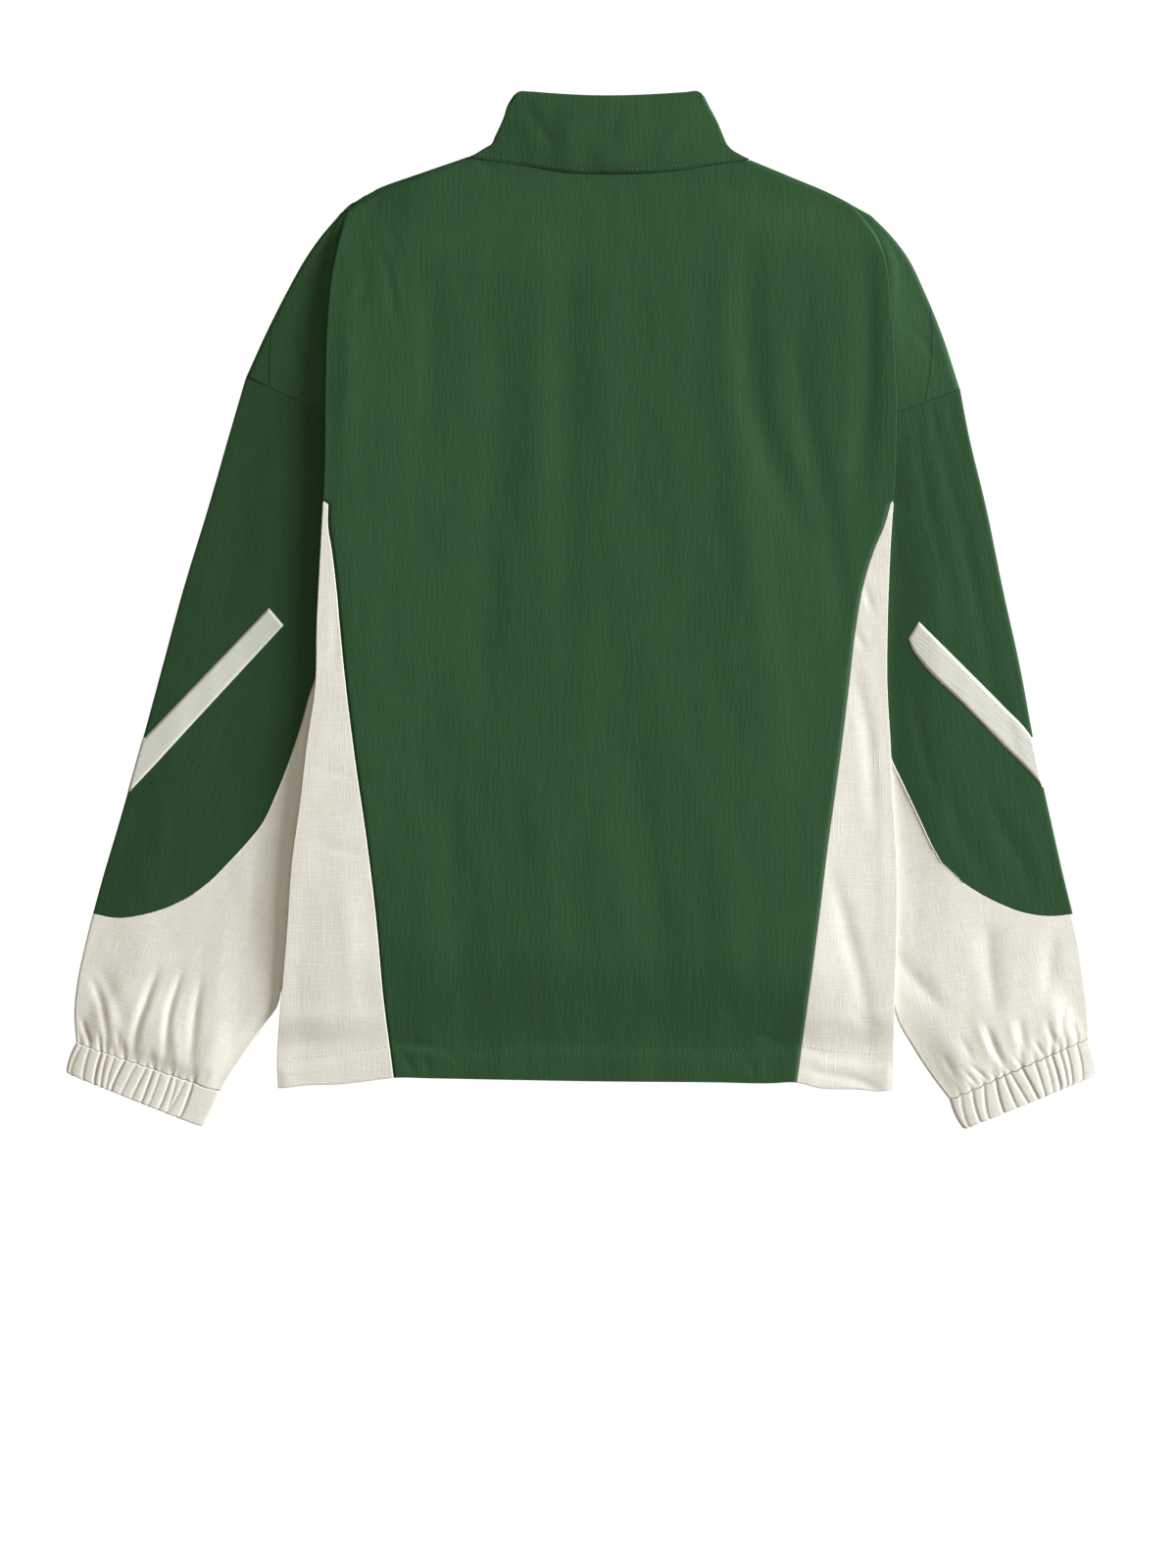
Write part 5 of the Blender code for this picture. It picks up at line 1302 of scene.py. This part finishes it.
def sew_hem(back, front, sides):
    """Stitches that close the hem's channel."""
    tip = {side: column(SIDE_SEAM, side, -332) for side in SIDES}
    end = {side: column(SIDE_FOLD, side, -335) for side in SIDES}
    for part, cloth, start, stop in (("green", back, tip["left"] + 1.5, tip["right"] - 1.5),
                                     ("left", sides["left"], end["left"] + 4, tip["left"] - 1.5),
                                     ("right", sides["right"], tip["right"] + 1.5, end["right"] - 4)):
        xs = np.linspace(start, stop, 40)
        line = np.stack([xs, stitch_y(xs)], axis=1)
        rows = stitch_row(cloth.surface(), line)
        if cloth is back:
            rows += stitch_row(front.surface(), line, from_above=False)
        colour = "green" if cloth is back else "cream"
        joined("hem_stitches_" + part, rows, colour + "_thread", cloth.node, colour + "_cloth")


def sew_shoulders(back, sleeves):
    """The seams down each shoulder and across the top of the sleeve, drawn as fine dark lines of painted
    shadow.
    """
    for side, sleeve in sleeves.items():
        across = np.array((SLEEVE_OUT[side][0], ARMHOLE[side][0]), float) - (0, 0.35)
        for name, cloth, line in (("shoulder_seam_", back, np.array(SHOULDER_SEAM[side])),
                                  ("sleeve_seam_", sleeve, straight(*across, even(30))[1:])):
            rows = stitch_row(cloth.surface(), line, lift=-0.1, **SEAM_LINE)
            joined(name + side, rows, "painted_seam_shadow", cloth.node, "green_cloth")


# ---- finishes -------------------------------------------------------------------------------------

class Wire:
    """A value that a shader works out, with the usual signs."""

    def __init__(self, finish, socket):
        self.finish, self.socket = finish, socket

    def __add__(self, other):
        return self.finish.maths("ADD", self, other)

    def __mul__(self, other):
        return self.finish.maths("MULTIPLY", self, other)

    __radd__, __rmul__ = __add__, __mul__


class Finish:
    """Shader of one cloth or trim. Its patterns follow the object's own coordinates, in metres."""

    def __init__(self, name, **uniform):
        self.made = bpy.data.materials.new(name)
        self.made.use_nodes = True
        self.tree = self.made.node_tree
        self.shader = self.tree.nodes["Principled BSDF"]
        for title, value in uniform.items():
            self.join(self.shader, title.replace("_", " "), value)
        self.place = self.node("ShaderNodeTexCoord", out="Object")

    def join(self, node, name, value):
        socket = next(s for s in node.inputs if name in (s.identifier, s.name))
        if isinstance(value, Wire):
            self.tree.links.new(value.socket, socket)
        else:
            socket.default_value = value

    def node(self, kind, settings=None, values=None, out=""):
        """Add a node: its settings first, then the values or wires of its inputs."""
        made = self.tree.nodes.new(kind)
        for name, value in (settings or {}).items():
            setattr(made, name, value)
        for name, value in (values or {}).items():
            self.join(made, name, value)
        return Wire(self, next(s for s in made.outputs if out in (s.identifier, s.name, "")))

    def maths(self, operation, *values):
        inputs = dict(zip(("Value", "Value_001"), values))
        return self.node("ShaderNodeMath", dict(operation=operation), inputs)

    def grain(self, across, upward, turn=0.0, detail=2.0, rough=0.5):
        """Soft noise from 0 to 1 with spots of this size in millimetres, along a line turned from upright."""
        spot = self.node("ShaderNodeMapping", dict(vector_type="TEXTURE"), dict(
            Vector=self.place, Rotation=(0, 0, turn), Scale=(across * MM, upward * MM, 100 * MM)))
        return self.node("ShaderNodeTexNoise", values=dict(
            Vector=spot, Scale=1.0, Detail=detail, Roughness=rough), out="Fac")

    def threshold(self, value, low, high):
        """0 below low, 1 above high, smooth in between."""
        return self.node("ShaderNodeMapRange", dict(interpolation_type="SMOOTHSTEP"), dict(
            Value=value, **{"From Min": low, "From Max": high}), out="Result")

    def colour(self, share, start, end):
        """Colour the cloth from one shade to another."""
        colours = dict(Factor_Float=share, A_Color=(*start, 1), B_Color=(*end, 1))
        self.join(self.shader, "Base Color", self.node(
            "ShaderNodeMix", dict(data_type="RGBA"), colours, out="Result_Color"))

    def relief(self, height):
        """Raise the surface by a height in millimetres."""
        self.join(self.shader, "Normal", self.node("ShaderNodeBump", values=dict(
            Strength=1.0, Distance=MM, Height=height), out="Normal"))


def shades(colour, amount):
    """A darker and a lighter shade of a colour."""
    return [tuple(part * (1 + change) for part in colour) for change in (-amount, amount)]


def green_finish(name, turn=0.0, light=1.0):
    """Crisp woven cloth with a fine crinkle along its length; a light below 1 darkens its colour as painted
    shade.
    """
    finish = Finish(name, Roughness=0.65, Specular_IOR_Level=0.12)
    crinkle = finish.grain(2.0, 16, turn, 3, 0.6)
    streak = finish.grain(9, 70, turn, 2)
    cloud = finish.grain(40, 70, turn, 2)
    weave = finish.grain(0.5, 0.5, turn, 1)
    tone = 0.35 * crinkle + 0.3 * weave + 0.15 * streak + 0.2 * cloud
    # painted shade: a light below 1 darkens the cloth's colour
    finish.colour(finish.threshold(tone, 0.34, 0.66), *shades(np.array(GREEN) * light, 0.07))
    finish.relief(0.26 * crinkle + 0.17 * streak + 0.03 * weave)
    return finish.made


def cream_finish(name, turn=0.0):
    """Linen-like cloth with thick and thin threads both ways."""
    finish = Finish(name, Roughness=0.85, Specular_IOR_Level=0.2)
    upright = finish.grain(0.7, 16, turn, 2)
    level = finish.grain(16, 0.7, turn, 2)
    slub_up = finish.threshold(finish.grain(1.1, 45, turn, 1), 0.62, 0.78)
    slub_level = finish.threshold(finish.grain(45, 1.1, turn, 1), 0.62, 0.78)
    cloud = finish.grain(30, 40, turn, 2)
    tone = 0.4 * upright + 0.4 * level + 0.2 * cloud
    tone = finish.threshold(tone, 0.34, 0.66) + 0.35 * (slub_up + slub_level)
    finish.colour(tone * 0.75, CREAM_DARK, CREAM_LIGHT)
    finish.relief(0.12 * (upright + level) + 0.05 * (slub_up + slub_level))
    return finish.made


def tape_finish(name, turn):
    """Flat woven tape with fine ribs across it."""
    finish = Finish(name, Roughness=0.8, Specular_IOR_Level=0.25)
    rib = finish.grain(22, 1.0, turn, 1)
    fleck = finish.grain(0.8, 0.8, turn, 1)
    finish.colour(0.6 * rib + 0.4 * fleck, *shades(TAPE, 0.1))
    finish.relief(0.25 * rib + 0.08 * fleck)
    return finish.made


def plain_finish(name, colour, **uniform):
    finish = Finish(name, **uniform)
    finish.colour(finish.grain(1.5, 1.5), *shades(colour, 0.08))
    return finish.made


GREEN = (0.0240, 0.0700, 0.0262)
CREAM_DARK = (0.665, 0.64, 0.565)
CREAM_LIGHT = (0.795, 0.78, 0.735)
TAPE = (0.62, 0.62, 0.57)
TRIMS = dict(                    # colour and roughness of the trims and threads
    zip_tape_cloth=((0.03, 0.07, 0.032), 0.7), zip_coil=((0.022, 0.055, 0.026), 0.4),
    slider=((0.30, 0.30, 0.28), 0.35), green_thread=((0.040, 0.110, 0.045), 0.6),
    # the seam line's near-black colour is painted shadow in the seams, not a thread's colour
    painted_seam_shadow=((0.008, 0.022, 0.009), 0.9), cream_thread=((0.66, 0.64, 0.57), 0.7))
ARM_TURN = dict(left=-0.29, right=0.22)      # lean of the sleeves' cloth from upright, radians
ARM_PAINTED_SHADE = dict(left=0.85, right=0.94)      # painted shade: the sleeves' colour is darkened, the left more, as they fall away from the light
TAPE_TURN = dict(left=0.75, right=-0.73)     # across the tapes


def make_finishes():
    for name, (colour, rough) in TRIMS.items():
        metal = 1.0 if name == "slider" else 0.0
        FINISHES[name] = plain_finish(name, colour, Roughness=rough, Metallic=metal)
    FINISHES["green_cloth"] = green_finish("green_cloth")
    FINISHES["cream_body"] = cream_finish("cream_body")
    for side in SIDES:
        # the sleeves' copies of the green carry painted shade
        FINISHES["green_" + side] = green_finish("green_" + side, ARM_TURN[side], ARM_PAINTED_SHADE[side])
        FINISHES["cream_" + side] = cream_finish("cream_" + side, ARM_TURN[side])
        FINISHES["tape_" + side] = tape_finish("tape_" + side, TAPE_TURN[side])


# ---- setting --------------------------------------------------------------------------------------

FLOOR_SHADE = 0.04
FLOOR_GLOW = 1.0
FLOOR_Z = -0.2
FLOOR_HALF = 14.0                # metres
VIEW_AT = (5.2, -132.0)          # the point that the picture's middle shows
VIEW_HIGH = 3289.0
LENS = 100.0
LIGHTS = (                       # where each light stands (m), its size (m), power (W) and colour
    dict(name="side_light", at=(7.2, 2.3, 2.6), size=3.8, power=1450.0, colour=(0.97, 0.995, 1.04)),
    dict(name="top_light", at=(0.6, 0.9, 4.2), size=4.0, power=44.0, colour=(1.0, 0.95, 0.84)))
SKY = (0.225, 0.21, 0.16)


def make_setting():
    scene = bpy.context.scene
    mesh = bpy.data.meshes.new("floor")
    corners = [(x * FLOOR_HALF, y * FLOOR_HALF, FLOOR_Z * MM)
               for x, y in ((-1, -1), (1, -1), (1, 1), (-1, 1))]
    mesh.from_pydata(corners, [], [(0, 1, 2, 3)])
    mesh.materials.append(plain_finish(
        "floor", (FLOOR_SHADE,) * 3, Roughness=0.9, Specular_IOR_Level=0.0,
        Emission_Color=(1, 1, 1, 1), Emission_Strength=FLOOR_GLOW))
    floor = set_down("floor", mesh)
    floor.visible_diffuse = floor.visible_glossy = False
    target = Vector((*VIEW_AT, 0)) * MM
    for light in LIGHTS:
        data = bpy.data.lights.new(light["name"], "AREA")
        data.size, data.energy, data.color = light["size"], light["power"], light["colour"]
        lamp = set_down(light["name"], data)
        lamp.location = light["at"]
        lamp.rotation_euler = (target - lamp.location).to_track_quat("-Z", "Y").to_euler()
    scene.world = bpy.data.worlds.new("room")
    scene.world.use_nodes = True
    scene.world.node_tree.nodes["Background"].inputs["Color"].default_value = (*SKY, 1)
    data = bpy.data.cameras.new("camera")
    data.lens, data.clip_end = LENS, 20
    scene.camera = set_down("camera", data)
    scene.camera.location = [part * MM for part in (*VIEW_AT, VIEW_HIGH)]
    scene.view_settings.view_transform = "Standard"


# The cut of what shows of each piece, in metres: width, length and area, and what it lies on
BOTH_SHEETS = dict(
    side_panel_=(0.16, 0.44, 0.046, "sleeve_cream_"), sleeve_green_=(0.27, 0.42, 0.079, "floor"),
    sleeve_cream_=(0.31, 0.37, 0.060, "floor"), cuff_gathered_=(0.24, 0.028, 0.0067, "floor"))
SHEETS = dict(
    back_panel=(0.62, 0.70, 0.33, "front_panel"), front_panel=(0.56, 0.66, 0.24, "floor"),
    **{name + side: (*cut, under + side if under != "floor" else under)
       for name, (*cut, under) in BOTH_SHEETS.items() for side in SIDES},
    tape_left=(0.0175, 0.18, None, "sleeve_green_left"),
    tape_right=(0.0175, 0.17, None, "sleeve_green_right"),
    collar_band=(0.40, 0.062, 0.024, "floor"))


def main():
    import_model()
    make_finishes()
    back, front, collar = make_back(), make_front(), make_collar()
    make_zip()
    make_zip_teeth()
    sides = {side: make_side(side) for side in SIDES}
    sleeves = {side: make_sleeve(side) for side in SIDES}
    for side, sleeve in sleeves.items():
        make_lower(side)
        make_cuff(side)
        make_tape(side, sleeve)
    sew_neck(collar)
    sew_hem(back, front, sides)
    sew_shoulders(back, sleeves)
    make_setting()
    pieces = bpy.data.objects
    for name, (width, length, area, lies_on) in SHEETS.items():
        sewn_in = [pieces["zip_tape"]] if name == "front_panel" else []


main()
